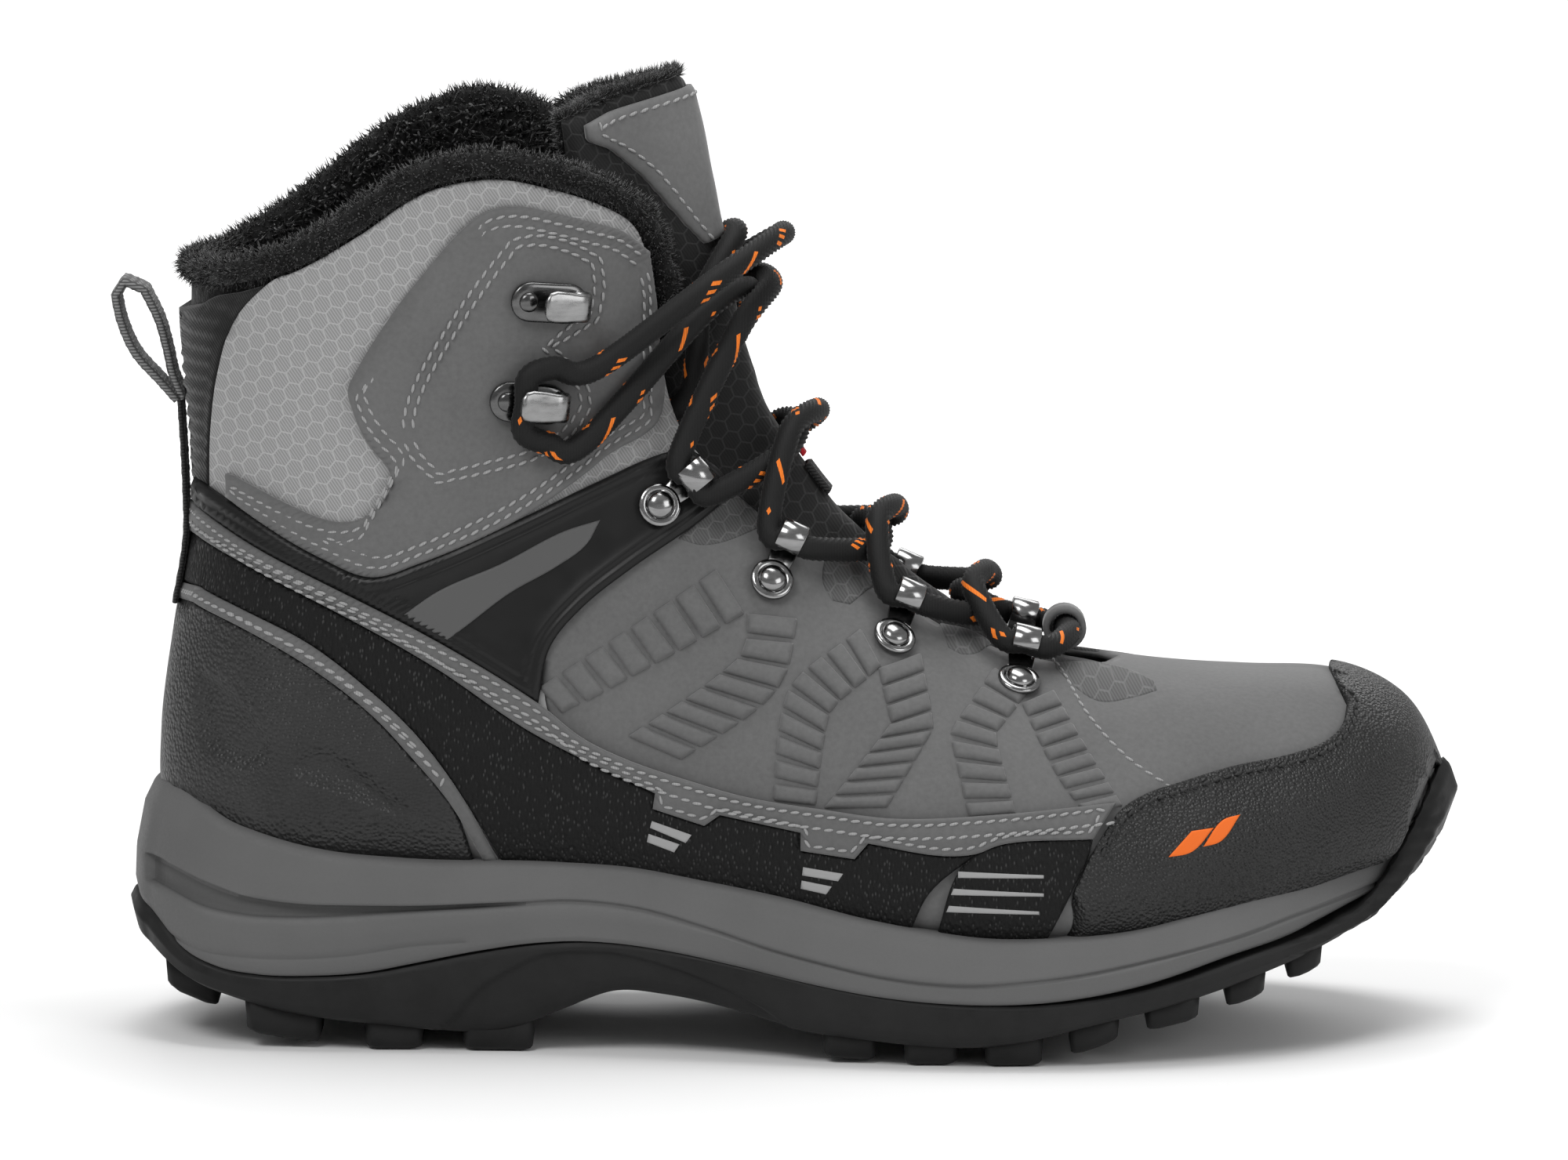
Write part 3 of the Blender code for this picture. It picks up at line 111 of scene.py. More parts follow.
# the foam wall's sunk band: heights of its upper and lower edge
BAND_UP = [(-2, 42), (8.7, 40.9), (17, 38), (28, 34.8), (38, 33.5), (52, 33.2), (66, 33.3), (88, 34.5), (100, 35.4),
           (116, 34.3), (131, 30.7), (147, 26), (158, 23.4), (170, 21), (185, 19.4), (208, 20.6), (234, 25.0),
           (252, 28.9), (266, 32.5), (285, 36)]
BAND_LOW = [(-2, 36.5), (8.7, 34.8), (17, 31.9), (28, 30.4), (38, 30.3), (52, 31), (66, 32), (88, 33.6), (100, 34.6),
            (116, 33.5), (131, 29.9), (147, 25.2), (158, 22.6), (170, 20.2), (185, 18.6), (208, 19.8), (234, 24.2),
            (252, 28.1), (266, 31.7), (285, 35.2)]
# where each tread block begins and ends (x)
EDGE_LUGS = [(28, 45), (55, 68), (77, 93), (158, 170), (176, 188), (194, 207), (213, 224), (230, 242),
             (248, 257), (262, 270)]
CENTRE_LUGS = [(30, 44), (54, 67), (76, 90), (160, 174), (181, 195), (202, 216), (223, 237), (244, 257)]

# ---- outlines of the upper's pieces in the side view ----
RIM = [(8, 168.5), (20.5, 170.5), (38, 175), (53.5, 183.5), (69, 193.5), (78, 196), (87, 196.5), (97, 194.3),
       (109, 190), (116.5, 185)]
COLLAR_FRONT = [(116.5, 185), (119.5, 178), (121.5, 168), (122.5, 156), (124, 147), (127, 139), (131, 133.5)]
# the throat's edge on the vamp, as (t, v) on the last
THROAT_EDGE = [(9.5, 0.842), (9.0, 0.85), (8.5, 0.872), (8.0, 0.888), (7.2, 0.898), (6.5, 0.90), (5.9, 0.91),
               (5.5, 0.94)]
BAND_TOP = [(-10, 127), (16, 126.5), (28, 121), (46, 111.5), (57, 107.5), (67.5, 110.5), (88.5, 119.5),
            (107, 128), (122, 134), (128, 134.8)]
BAND_TIP = [(128, 134.8), (134, 130.5), (138.5, 125)]
BAND_FRONT = [(138.5, 125), (130.5, 119), (115, 109), (104, 100.5), (97, 92), (94.3, 79.5)]
STRIP_TOP = [(-10, 122), (16, 120.5), (28, 114.5), (49.5, 104.5), (71, 93.5), (94.3, 79.5), (104, 72),
             (113.5, 67.5), (127.5, 63), (141, 59.5), (159.5, 57), (173.5, 55.5), (199, 56.5), (223, 58.5)]
STRIP_LOW = [(-10, 115.5), (16, 114), (28, 109.5), (49.5, 99.5), (71, 87.5), (92, 73.5), (107, 66), (120.5, 60)]
STRIP_STEPS = [(120.5, 60), (120, 56.5), (131.5, 53), (135, 55.5), (153, 52), (153, 48), (165, 46.5), (168, 50),
               (185, 47.5), (192, 48), (197.5, 50), (218, 51)]
WELT_TOP = [(-10, 105), (16, 103), (28, 99), (42.5, 92.5), (56.5, 82), (67, 72), (77, 58.5), (87.5, 43)]
WELT_LOW = [(-10, 101), (15, 99.3), (28, 95), (42.5, 87.5), (56.5, 77), (66, 67), (75, 56), (84, 43)]
ANKLE = [(119, 179), (113, 184), (106.5, 186.3), (99.5, 188.5), (91.5, 190.5), (86.5, 190.5), (82, 189),
         (77, 185), (70.5, 177.5), (64, 169.5), (58.5, 161.5), (54, 154), (52, 149.5), (53, 145), (55, 140),
         (58, 135.5), (61, 132), (61.3, 127.5), (58.5, 123), (54.5, 120.5), (50.5, 119.8), (46, 120.5),
         (39, 123), (28, 127.5), (19.5, 130.3), (-10, 131)]
ANKLE_FRONT = [(106, 131), (109, 133.5), (113, 135.8), (117.5, 138), (121, 141), (122.5, 148), (121.5, 156),
               (120.5, 168), (119, 179)]
COLLAR_BACK = [(36.5, 174.6), (33, 172.5), (25, 163.5), (21, 151.5), (19, 138), (18.5, 126)]
TOE_CAP = [(276, 90), (274, 81), (276.7, 76), (275.5, 72.5), (272, 69.5), (263, 67), (250, 65.3), (238, 62.5),
           (230.5, 60.5), (224.5, 57.3), (221, 53), (217.5, 47.5), (213.5, 39), (208, 26)]

# ---- lace hardware: side-view point and heading of each piece ----
RINGS = [((121, 122.5), (0.77, 0.64)), ((146.5, 106), (0.42, 0.90)), ((174, 93), (0.39, 0.92)),
         ((202, 83), (0.23, 0.97))]
HOOKS = [((92, 146.5), (1.0, -0.1)), ((96.5, 169), (1.0, -0.1))]
RING_REACH = 9.6
RING_RISE = 4.1
RING_CURL = 3.4
HOOK_MOUTH = -1.6
HOOK_RISE = 4.0
HOOK_BEND = 3.3
# x, z along the heel's pull loop, then its width and thickness
PULL_ROUTE = [(8.2, 147.5), (2.5, 154), (-0.6, 161), (-1.9, 167), (0.2, 170.3), (4.6, 168.4), (7.9, 161.5),
              (9.8, 154.5), (10.9, 149.3)]
PULL_WIDTH = 12.0
PULL_THICK = 2.1
STRAP_HALF = 6.0
STRAP_THICK = 1.3
TOE_LOOP, TOE_LOOP_R = (213.0, 91.2), 4.2
CROSSINGS = [7.0, 8.35, 9.95]
LOW_STRAND, HIGH_STRAND = 4.8, 10.0
LACE_D = 5.0


# ---- kernel, the same last as the CAD ----
def hermite(a, b, slope_a, slope_b, u):
    """A smooth curve from a to b that starts and ends with given slopes."""
    rise = (3 - 2 * u) * u * u
    return a * (1 - rise) + b * rise + slope_a * u * (1 - u) ** 2 - slope_b * u * u * (1 - u)


def units(vectors):
    """The same vectors, each made one long."""
    return vectors / np.maximum(np.linalg.norm(vectors, axis=-1, keepdims=True), 1e-9)


def lengths(line):
    """The length along a line of points up to each of them."""
    return np.concatenate([[0], np.cumsum(np.linalg.norm(np.diff(line, axis=0), axis=1))])


def points_at(at, run, line):
    """Points at given lengths along a line."""
    return np.stack([np.interp(at, run, line[:, k]) for k in range(3)], axis=1)


def spline(knots, at):
    """Rows of numbers on a smooth curve through the knots, at positions counted in knots."""
    k = np.asarray(knots, float)
    slope = np.vstack([k[1] - k[0], (k[2:] - k[:-2]) / 2, k[-1] - k[-2]])
    at = np.clip(np.asarray(at, float), 0, len(k) - 1 - 1e-9)
    i = at.astype(int)
    return hermite(k[i], k[i + 1], slope[i], slope[i + 1], (at - i)[:, None])


def curve_at(x, table):
    """The height of a smooth curve through (x, height) knots."""
    k = np.array(table, float)
    slope = np.gradient(k[:, 1], k[:, 0])
    x = np.clip(x, k[0, 0], k[-1, 0])
    i = np.clip(np.searchsorted(k[:, 0], x, side="right") - 1, 0, len(k) - 2)
    step = k[i + 1, 0] - k[i, 0]
    u = (x - k[i, 0]) / step
    rise = (3 - 2 * u) * u * u
    bow = step * (slope[i] * u * (1 - u) ** 2 - slope[i + 1] * u * u * (1 - u))
    return k[i, 1] * (1 - rise) + k[i + 1, 1] * rise + bow


class Last:
    """The shoemaker's last that the upper lies on, as a grid of points and normals."""

    ROWS, COLUMNS, PROFILE = 541, 257, 240

    def __init__(self):
        knots = np.array(SECTIONS, float)
        before = knots[1].copy()
        before[[1, 3]] = 2 * knots[0, [1, 3]] - knots[1, [1, 3]]
        before[4] = -knots[1, 4]
        section = spline(np.vstack([before, knots]), np.linspace(0, LAST_END, self.ROWS) + 1)
        self.top, self.low = section[:, 0:2], section[:, 2:4]
        self.points = np.zeros((self.ROWS, self.COLUMNS, 3))
        self.rise = np.zeros((self.ROWS, self.COLUMNS))
        for row, (_, _, _, _, half, widest, square_low, square_top) in enumerate(section):
            self.trace(row, half, widest, square_low, square_top)
        across = np.concatenate([self.points[:, 1:2] * [1, -1, 1], self.points,
                                 self.points[:, -2:-1] * [1, -1, 1]], axis=1)
        normal = np.cross(across[:, 2:] - across[:, :-2], np.gradient(self.points, axis=0))
        normal[0] = [1, 0, 0]
        normal = units(normal)
        if normal[self.ROWS // 2, self.COLUMNS // 2, 1] < 0:
            normal[1:] *= -1
        self.normals = normal

    def trace(self, row, half, widest, square_low, square_top):
        angle = np.linspace(0, math.pi / 2, self.PROFILE)
        back = angle[::-1]
        low = widest * (1 - np.cos(angle) ** (2 / square_low))
        high = 1 - (1 - widest) * (1 - np.cos(back) ** (2 / square_top))
        rise = np.concatenate([low, high[1:]])
        width = np.concatenate([np.sin(angle) ** (2 / square_low), (np.sin(back) ** (2 / square_top))[1:]]) * half
        span = self.top[row] - self.low[row]
        along = np.hypot(np.diff(rise) * max(np.hypot(*span), 1e-6), np.diff(width))
        along = np.concatenate([[0], np.cumsum(along)])
        even = np.linspace(0, along[-1], self.COLUMNS)
        rise, width = np.interp(even, along, rise), np.interp(even, along, width)
        self.rise[row] = rise
        self.points[row, :, 0] = self.low[row, 0] + rise * span[0]
        self.points[row, :, 1] = width
        self.points[row, :, 2] = self.low[row, 1] + rise * span[1]

    def at(self, t, v, offset=0.0):
        """Points at (t, v), moved outward by an offset in mm."""
        t, v, offset = np.broadcast_arrays(*(np.asarray(a, float) for a in (t, v, offset)))
        row = np.clip(t / LAST_END * (self.ROWS - 1), 0, self.ROWS - 1.000001)
        column = np.clip(np.abs(v) * (self.COLUMNS - 1), 0, self.COLUMNS - 1.000001)
        i, j = row.astype(int), column.astype(int)
        a, c = (row - i)[..., None], (column - j)[..., None]
        mixed = []
        for grid in (self.points, self.normals):
            mixed.append((1 - a) * ((1 - c) * grid[i, j] + c * grid[i, j + 1])
                         + a * ((1 - c) * grid[i + 1, j] + c * grid[i + 1, j + 1]))
        point, normal = mixed
        found = point + units(normal) * offset[..., None]
        found[..., 1] *= np.where(v < 0, -1, 1)
        return found

    def find(self, x, z):
        """(t, v) of a side-view point."""
        span = self.top - self.low
        ahead = (x - self.low[:, 0]) * span[:, 1] - (z - self.low[:, 1]) * span[:, 0]
        ahead[0] = -1
        crossing = np.nonzero((ahead[:-1] <= 0) & (ahead[1:] > 0))[0]
        row = crossing[0] if len(crossing) else self.ROWS - 2
        part = ahead[row] / (ahead[row] - ahead[row + 1]) if len(crossing) else 1.0
        low = (1 - part) * self.low[row] + part * self.low[row + 1]
        top = (1 - part) * self.top[row] + part * self.top[row + 1]
        share = (np.array([x, z]) - low) @ (top - low) / ((top - low) @ (top - low))
        rise = (1 - part) * self.rise[row] + part * self.rise[row + 1]
        t = (row + part) / (self.ROWS - 1) * LAST_END
        return t, float(np.interp(share, rise, np.linspace(0, 1, self.COLUMNS)))


def warped(points):
    """Gives the symmetrical design the bend and the two widths of a right boot."""
    p = np.asarray(points, float)
    x, y, z = p[..., 0], p[..., 1], p[..., 2]
    low = np.clip(2 - z / 60, 0, 1)
    width = 1 + (np.where(y < 0, curve_at(x, LATERAL), curve_at(x, MEDIAL)) - 1) * low
    bend = curve_at(x, BEND) * np.clip(1 - (z - 80) / 120, 0.3, 1)
    return np.stack([x, y * width + bend, z], axis=-1)


def place(points):
    """Design points (mm) to scene points (m)."""
    return (warped(points) - [X_MID, Y_MID, 0]) / 1000


last = Last()
SIDES = {"lateral": -1, "medial": 1}


def unit(vector):
    return np.asarray(vector, float) / np.linalg.norm(vector)


def seat(point, heading, side, lift):
    """A frame on the boot's surface (m): x along heading, z outward."""
    t, v = last.find(*point)
    v *= side
    step = 0.02
    origin = place(last.at(t, v, lift))
    along_t = place(last.at(t + step, v, lift)) - place(last.at(t - step, v, lift))
    along_v = place(last.at(t, v + step / 4, lift)) - place(last.at(t, v - step / 4, lift))
    outward = unit(np.cross(along_t, along_v))
    if outward[1] * side < 0:
        outward = -outward
    ahead = np.array([heading[0], 0.0, heading[1]])
    ahead = unit(ahead - outward * (ahead @ outward))
    sideways = np.cross(outward, ahead)
    return Matrix([[*row, at] for row, at in zip(np.array([ahead, sideways, outward]).T, origin)] + [[0, 0, 0, 1]])


# ---- camera: the photo's outer side view, slightly from above ----
CAMERA_DISTANCE, CAMERA_RISE, CAMERA_LENS = 2.2, math.radians(8), 222.5
LOOK_AT = Vector((-0.0012, 0, 0.1021))


def add_camera():
    data = bpy.data.cameras.new("camera")
    data.sensor_width = 36
    data.lens = CAMERA_LENS
    camera = bpy.data.objects.new("camera", data)
    camera.location = LOOK_AT + Vector((0, -math.cos(CAMERA_RISE), math.sin(CAMERA_RISE))) * CAMERA_DISTANCE
    camera.rotation_euler = (math.pi / 2 - CAMERA_RISE, 0, 0)
    bpy.context.scene.collection.objects.link(camera)
    bpy.context.scene.camera = camera


add_camera()


# ---- materials ----
SHINE = 0.22    # how much light cloth, foam and rubber mirror, against 0.5 for a plain plastic


class Shader:
    """A procedural material and short calls to wire it."""

    def __init__(self, name, color, roughness, metallic=0.0, sheen=0.0):
        self.mat = bpy.data.materials.new(name)
        self.mat.use_nodes = True
        self.nodes, self.links = self.mat.node_tree.nodes, self.mat.node_tree.links
        self.out = self.nodes["Principled BSDF"]
        self.out.inputs["Base Color"].default_value = (*color, 1)
        self.out.inputs["Roughness"].default_value = roughness
        self.out.inputs["Metallic"].default_value = metallic
        self.out.inputs["Sheen Weight"].default_value = sheen
        self.out.inputs["Sheen Roughness"].default_value = 0.4
        self.out.inputs["Specular IOR Level"].default_value = 0.5 if metallic else SHINE
        self.coords = self.nodes.new("ShaderNodeTexCoord").outputs["Object"]
        self.normal = None

    def node(self, kind, inputs=None, **settings):
        made = self.nodes.new("ShaderNode" + kind)
        for key, value in settings.items():
            setattr(made, key, value)
        for key, value in (inputs or {}).items():
            if isinstance(value, bpy.types.NodeSocket):
                self.links.new(value, made.inputs[key])
            else:
                made.inputs[key].default_value = value
        return made

    def math(self, kind, a, b=0.0):
        return self.node("Math", {0: a, 1: b}, operation=kind).outputs[0]

    def scaled(self, x, y, z, turn=(0, 0, 0)):
        made = self.node("Mapping", {"Vector": self.coords, "Scale": (x, y, z), "Rotation": turn})
        return made.outputs[0]

    def noise(self, scale, detail=3.0, rough=0.5, vector=None):
        return self.node("TexNoise", {"Vector": vector or self.coords, "Scale": scale, "Detail": detail,
                                      "Roughness": rough}).outputs["Fac"]

    def cells(self, scale, vector=None):
        return self.node("TexVoronoi", {"Vector": vector or self.coords, "Scale": scale}).outputs["Distance"]

    def wave(self, scale, distortion, vector=None, **settings):
        inputs = {"Vector": vector or self.coords, "Scale": scale, "Distortion": distortion}
        return self.node("TexWave", inputs, **settings).outputs["Fac"]

    def share(self, value, low, high, to_low=0.0, to_high=1.0):
        """Runs from one number to another as value goes from low to high."""
        inputs = {"Value": value, "From Min": low, "From Max": high, "To Min": to_low, "To Max": to_high}
        return self.node("MapRange", inputs).outputs["Result"]

    def ramp(self, value, low, high, dark, bright):
        """Blends from one colour to another as value goes from low to high."""
        return self.mix(self.share(value, low, high), dark, bright)

    def shades(self, value, low, high, tone, dark, bright):
        """Colours the surface from dark to bright, both given as shares of its grey tone."""
        return self.color(self.ramp(value, low, high, (tone * dark,) * 3, (tone * bright,) * 3))

    def mix(self, share, dark, bright):
        made = self.nodes.new("ShaderNodeMix")
        made.data_type = "RGBA"
        self.links.new(share, made.inputs[0])
        for socket, value in ((made.inputs[6], dark), (made.inputs[7], bright)):
            if isinstance(value, bpy.types.NodeSocket):
                self.links.new(value, socket)
            else:
                socket.default_value = (*value, 1)
        return made.outputs[2]

    def color(self, socket):
        self.links.new(socket, self.out.inputs["Base Color"])
        return self

    def rough(self, value, low, high, from_min=0.3, from_max=0.7):
        self.links.new(self.share(value, from_min, from_max, low, high), self.out.inputs["Roughness"])
        return self

    def bump(self, height, strength, distance):
        inputs = {"Height": height, "Strength": strength, "Distance": distance / 1000}
        if self.normal is not None:
            inputs["Normal"] = self.normal
        self.normal = self.node("Bump", inputs).outputs[0]
        self.links.new(self.normal, self.out.inputs["Normal"])
        return self


def nubuck(name, tone):
    s = Shader(name, (tone,) * 3, 0.82, sheen=0.25)
    fine, cloudy = s.noise(900, 2), s.noise(45, 4)
    blend = s.math("ADD", s.math("MULTIPLY", fine, 0.5), s.math("MULTIPLY", cloudy, 0.5))
    s.shades(blend, 0.3, 0.7, tone, 0.86, 1.12)
    s.bump(fine, 0.25, 0.12).bump(s.noise(220, 4), 0.2, 0.2)
    return s.mat


def hex_cells(s, pitch, turn=0.0):
    """Distance to the edge of a regular honeycomb drawn in the side view, 0 at an edge (in cell units)."""
    flat = s.node("Mapping", {"Vector": s.coords, "Rotation": (0, turn, 0),
                              "Scale": (1000 / pitch, 0, 1000 / pitch)}).outputs[0]
    split = s.node("SeparateXYZ", {0: flat})
    x, z = split.outputs["X"], split.outputs["Z"]
    root = math.sqrt(3)
    found = []
    for shift in (0.0, 0.5):
        a = s.math("SUBTRACT", s.math("FRACT", s.math("ADD", x, shift)), 0.5)
        b = s.math("SUBTRACT", s.math("FRACT", s.math("ADD", s.math("DIVIDE", z, root), shift)), 0.5)
        b = s.math("MULTIPLY", b, root)
        ax, bz = s.math("ABSOLUTE", a), s.math("ABSOLUTE", b)
        slant = s.math("ADD", s.math("MULTIPLY", ax, 0.5), s.math("MULTIPLY", bz, root / 2))
        found.append(s.math("MAXIMUM", ax, slant))
    return s.math("SUBTRACT", 0.5, s.math("MINIMUM", *found))


def ripstop(name, tone, line):
    s = Shader(name, (tone,) * 3, 0.75, sheen=0.2)
    edge = hex_cells(s, 3.8, 0.35)
    share = s.share(edge, 0.02, 0.07)
    weave = s.wave(520.0, 0.4, s.scaled(1, 0, 1, (0, 0.6, 0)))
    cloth = s.ramp(weave, 0.2, 0.8, (tone * 0.8,) * 3, (tone * 1.15,) * 3)
    s.color(s.mix(share, (line,) * 3, cloth))
    s.bump(share, 0.35, 0.25).bump(weave, 0.3, 0.1)
    return s.mat


def grained(name, tone, scale=900.0, strength=0.5):
    s = Shader(name, (tone,) * 3, 0.45)
    s.out.inputs["Specular IOR Level"].default_value = 0.4
    pebbles, creases = s.cells(scale), s.noise(60, 4)
    s.shades(creases, 0.3, 0.7, tone, 0.8, 1.5)
    s.rough(pebbles, 0.3, 0.5, 0.1, 0.6)
    s.bump(pebbles, strength, 0.5).bump(creases, 0.2, 0.8)
    return s.mat


def speckled(name, tone):
    """Black panel cloth with a raised, glittering short weave."""
    s = Shader(name, (tone,) * 3, 0.55)
    flecks = s.cells(1300, s.scaled(1, 1, 0.45, (0, 0.7, 0)))
    s.shades(flecks, 0.12, 0.3, tone, 6, 0.8)
    s.rough(flecks, 0.35, 0.7, 0.1, 0.4)
    s.bump(flecks, 1.0, 0.5)
    return s.mat


def smooth_film(name, tone, rough=0.38):
    s = Shader(name, (tone,) * 3, rough)
    s.rough(s.noise(150, 3), rough - 0.06, rough + 0.08)
    s.bump(s.noise(400, 2), 0.08, 0.1)
    return s.mat


def softshell(name, tone):
    s = Shader(name, (tone,) * 3, 0.9, sheen=0.35)
    knit = s.node("TexWave", {"Vector": s.scaled(1, 1, 1, (0.4, 0.5, 0)), "Scale": 700.0, "Distortion": 1.5,
                              "Detail": 2.0}).outputs["Fac"]
    s.shades(knit, 0.2, 0.8, tone, 0.6, 1.5)
    s.bump(knit, 0.4, 0.15).bump(s.noise(90, 3), 0.3, 0.6)
    return s.mat


def fleece_mat(name, tone):
    s = Shader(name, (tone,) * 3, 1.0, sheen=0.3)
    lumps = s.noise(380, 4, 0.7)
    s.shades(lumps, 0.35, 0.7, tone, 0.5, 2.2)
    s.bump(lumps, 0.8, 0.8)
    return s.mat


def foam_mat(name, tone):
    s = Shader(name, (tone,) * 3, 0.6)
    fine, cloudy = s.noise(1400, 2), s.noise(30, 3)
    s.shades(cloudy, 0.3, 0.7, tone, 0.93, 1.07)
    s.rough(fine, 0.52, 0.72)
    s.bump(fine, 0.35, 0.08)
    return s.mat


def rubber_mat(name, tone):
    s = Shader(name, (tone,) * 3, 0.55)
    fine, scuff = s.noise(900, 3), s.noise(70, 5, 0.7)
    s.shades(scuff, 0.35, 0.75, tone, 0.8, 1.9)
    s.rough(scuff, 0.42, 0.7)
    s.bump(fine, 0.3, 0.12)
    return s.mat


def metal(name, tone, rough):
    s = Shader(name, (tone, tone, tone * 1.02), rough, metallic=1.0)
    smear = s.noise(260, 4, 0.6, s.scaled(1, 1, 4))
    s.shades(smear, 0.3, 0.75, tone, 0.8, 1.15)
    s.rough(smear, rough * 0.75, rough * 1.5)
    s.bump(smear, 0.05, 0.05)
    return s.mat


def thread(name, color):
    s = Shader(name, color, 0.65, sheen=0.05)
    twist = s.wave(900.0, 1.0)
    s.color(s.ramp(twist, 0.2, 0.8, tuple(c * 0.7 for c in color), tuple(min(c * 1.2, 1) for c in color)))
    s.bump(twist, 0.3, 0.1)
    return s.mat


def webbing_mat(name, tone):
    s = Shader(name, (tone,) * 3, 0.8, sheen=0.2)
    weave = s.math("MULTIPLY", s.wave(430.0, 0.6, bands_direction="Z"), s.wave(260.0, 0.3, bands_direction="Y"))
    s.shades(weave, 0.1, 0.6, tone, 0.5, 1.8)
    s.bump(weave, 0.6, 0.25)
    return s.mat


MAT = {
    "nubuck": nubuck("nubuck", 0.118), "strip": nubuck("nubuck_strip", 0.112), "patch": nubuck("nubuck_patch", 0.13),
    "textile": ripstop("ripstop_light", 0.27, 0.36), "insert": ripstop("ripstop_dark", 0.085, 0.12),
    "counter": grained("grained_counter", 0.013, 1000.0, 0.9), "cap": grained("grained_cap", 0.009, 1400.0, 1.0),
    "side": speckled("speckled_panel", 0.006), "band": smooth_film("band_film", 0.009),
    "band_inset": smooth_film("band_inset", 0.085, 0.5), "print": smooth_film("print_grey", 0.3, 0.5),
    "softshell": softshell("softshell", 0.012), "fleece": fleece_mat("fleece", 0.007),
    # the second foam is the same foam made darker: painted shade for the midsole's sunk band
    "foam": foam_mat("midsole_foam", 0.112), "foam_shaded": foam_mat("midsole_band_painted_shade", 0.085),
    "rubber": rubber_mat("sole_rubber", 0.009), "metal": metal("gunmetal", 0.27, 0.17),
    "satin": metal("satin_metal", 0.27, 0.26), "dark_metal": metal("dark_metal", 0.12, 0.2),
    "thread_grey": thread("thread_grey", (0.3, 0.3, 0.3)), "thread_black": thread("thread_black", (0.03, 0.03, 0.03)),
    "lace": thread("lace_black", (0.009, 0.009, 0.009)), "tracer": thread("lace_orange", (0.85, 0.2, 0.02)),
    "webbing": webbing_mat("webbing", 0.02), "accent": smooth_film("accent_orange", 0.5, 0.5),
    "webbing_grey": webbing_mat("webbing_grey", 0.12), "tongue": ripstop("ripstop_black", 0.012, 0.03),
    "board": nubuck("fibre_board", 0.3), "red": thread("thread_red", (0.5, 0.01, 0.02)),
}
MAT["accent"].node_tree.nodes["Principled BSDF"].inputs["Base Color"].default_value = (0.75, 0.14, 0.015, 1)


# ---- making pieces ----
def new_object(name, points, faces, mats, face_mats=None, merge=0.0):
    """A smooth mesh object that rides nothing yet; a CAD node's own name gets the ending _skin."""
    mesh = bpy.data.meshes.new(name)
    mesh.from_pydata(np.asarray(points, float).tolist(), [], faces)
    for mat in ([mats] if isinstance(mats, str) else mats):
        mesh.materials.append(MAT[mat])
    if face_mats is not None:
        mesh.polygons.foreach_set("material_index", face_mats)
    bm = bmesh.new()
    bm.from_mesh(mesh)
    if merge:
        bmesh.ops.remove_doubles(bm, verts=bm.verts, dist=merge)
        bmesh.ops.dissolve_degenerate(bm, dist=merge / 2, edges=bm.edges)
    bmesh.ops.recalc_face_normals(bm, faces=bm.faces)
    bm.to_mesh(mesh)
    bm.free()
    mesh.polygons.foreach_set("use_smooth", [True] * len(mesh.polygons))
    obj = bpy.data.objects.new(name + "_skin" if name in bpy.data.objects else name, mesh)
    bpy.context.scene.collection.objects.link(obj)
    return obj


def stands_for(nodes):
    if nodes:
        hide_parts(*nodes)


def piece(name, points, faces, mats, body="boot", replaces=(), slot=None, **settings):
    """A piece that rides one body."""
    obj = new_object(name, points, faces, mats, **settings)
    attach(obj, body)
    stands_for(replaces)
    return obj


def tongue_piece(name, points, faces, mat, replaces=(), slot=None):
    """A piece above the lace that rides no body."""
    obj = new_object(name, points, faces, mat)
    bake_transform(obj)
    stands_for(replaces)
    return obj


def merged(parts):
    """Joins (points, faces) parts into one."""
    points, faces, start = [], [], 0
    for part_points, part_faces in parts:
        points.append(np.asarray(part_points, float))
        faces += [tuple(start + k for k in face) for face in part_faces]
        start += len(part_points)
    return np.vstack(points), faces


def tube_faces(rings, around, closed=False):
    """Quads between rings of points."""
    faces = []
    for k in range(rings if closed else rings - 1):
        here, ahead = k * around, (k + 1) % rings * around
        faces += [(here + i, here + (i + 1) % around, ahead + (i + 1) % around, ahead + i) for i in range(around)]
    return faces


def end_caps(rings, around):
    return [tuple(range(around)), tuple(range((rings - 1) * around, rings * around))]


def closed_grid(outer, inner):
    """Closed (points, faces) between two grids of points."""
    n, m = outer.shape[:2]
    points = place(np.concatenate([outer.reshape(-1, 3), inner.reshape(-1, 3)]))
    index = np.arange(n * m).reshape(n, m)
    quads = np.stack([index[:-1, :-1], index[:-1, 1:], index[1:, 1:], index[1:, :-1]], axis=-1).reshape(-1, 4)
    faces = [tuple(q) for q in quads.tolist()] + [tuple(q) for q in (quads[:, ::-1] + n * m).tolist()]
    border = np.concatenate([index[0, :-1], index[:-1, -1], index[-1, :0:-1], index[:0:-1, 0]])
    faces += [(a, b, b + n * m, a + n * m) for a, b in zip(border.tolist(), np.roll(border, -1).tolist())]
    return points, faces


def dense(points, step, closed=False, corner=38):
    """A smooth line through side-view points that keeps its sharp corners."""
    p = np.asarray(points, float)
    count = len(p)
    chord = (np.roll(p, -1, axis=0) if closed else np.vstack([p[1:], p[-1:]])) - p

    def tangent(k):
        before, after = chord[k - 1], chord[k]
        if not closed and k in (0, count - 1):
            return None
        lengths = np.linalg.norm(before) * np.linalg.norm(after)
        if before @ after < math.cos(math.radians(corner)) * lengths:
            return None
        return unit(unit(before) + unit(after))

    out = []
    for k in range(count if closed else count - 1):
        a, b = p[k], p[(k + 1) % count]
        length = np.linalg.norm(b - a)
        start, end = tangent(k), tangent((k + 1) % count)
        start = (b - a) if start is None else start * length
        end = (b - a) if end is None else end * length
        parts = max(1, round(length / step))
        out += [hermite(a, b, start, end, u) for u in np.arange(parts) / parts]
    if not closed:
        out.append(p[-1])
    return np.array(out)


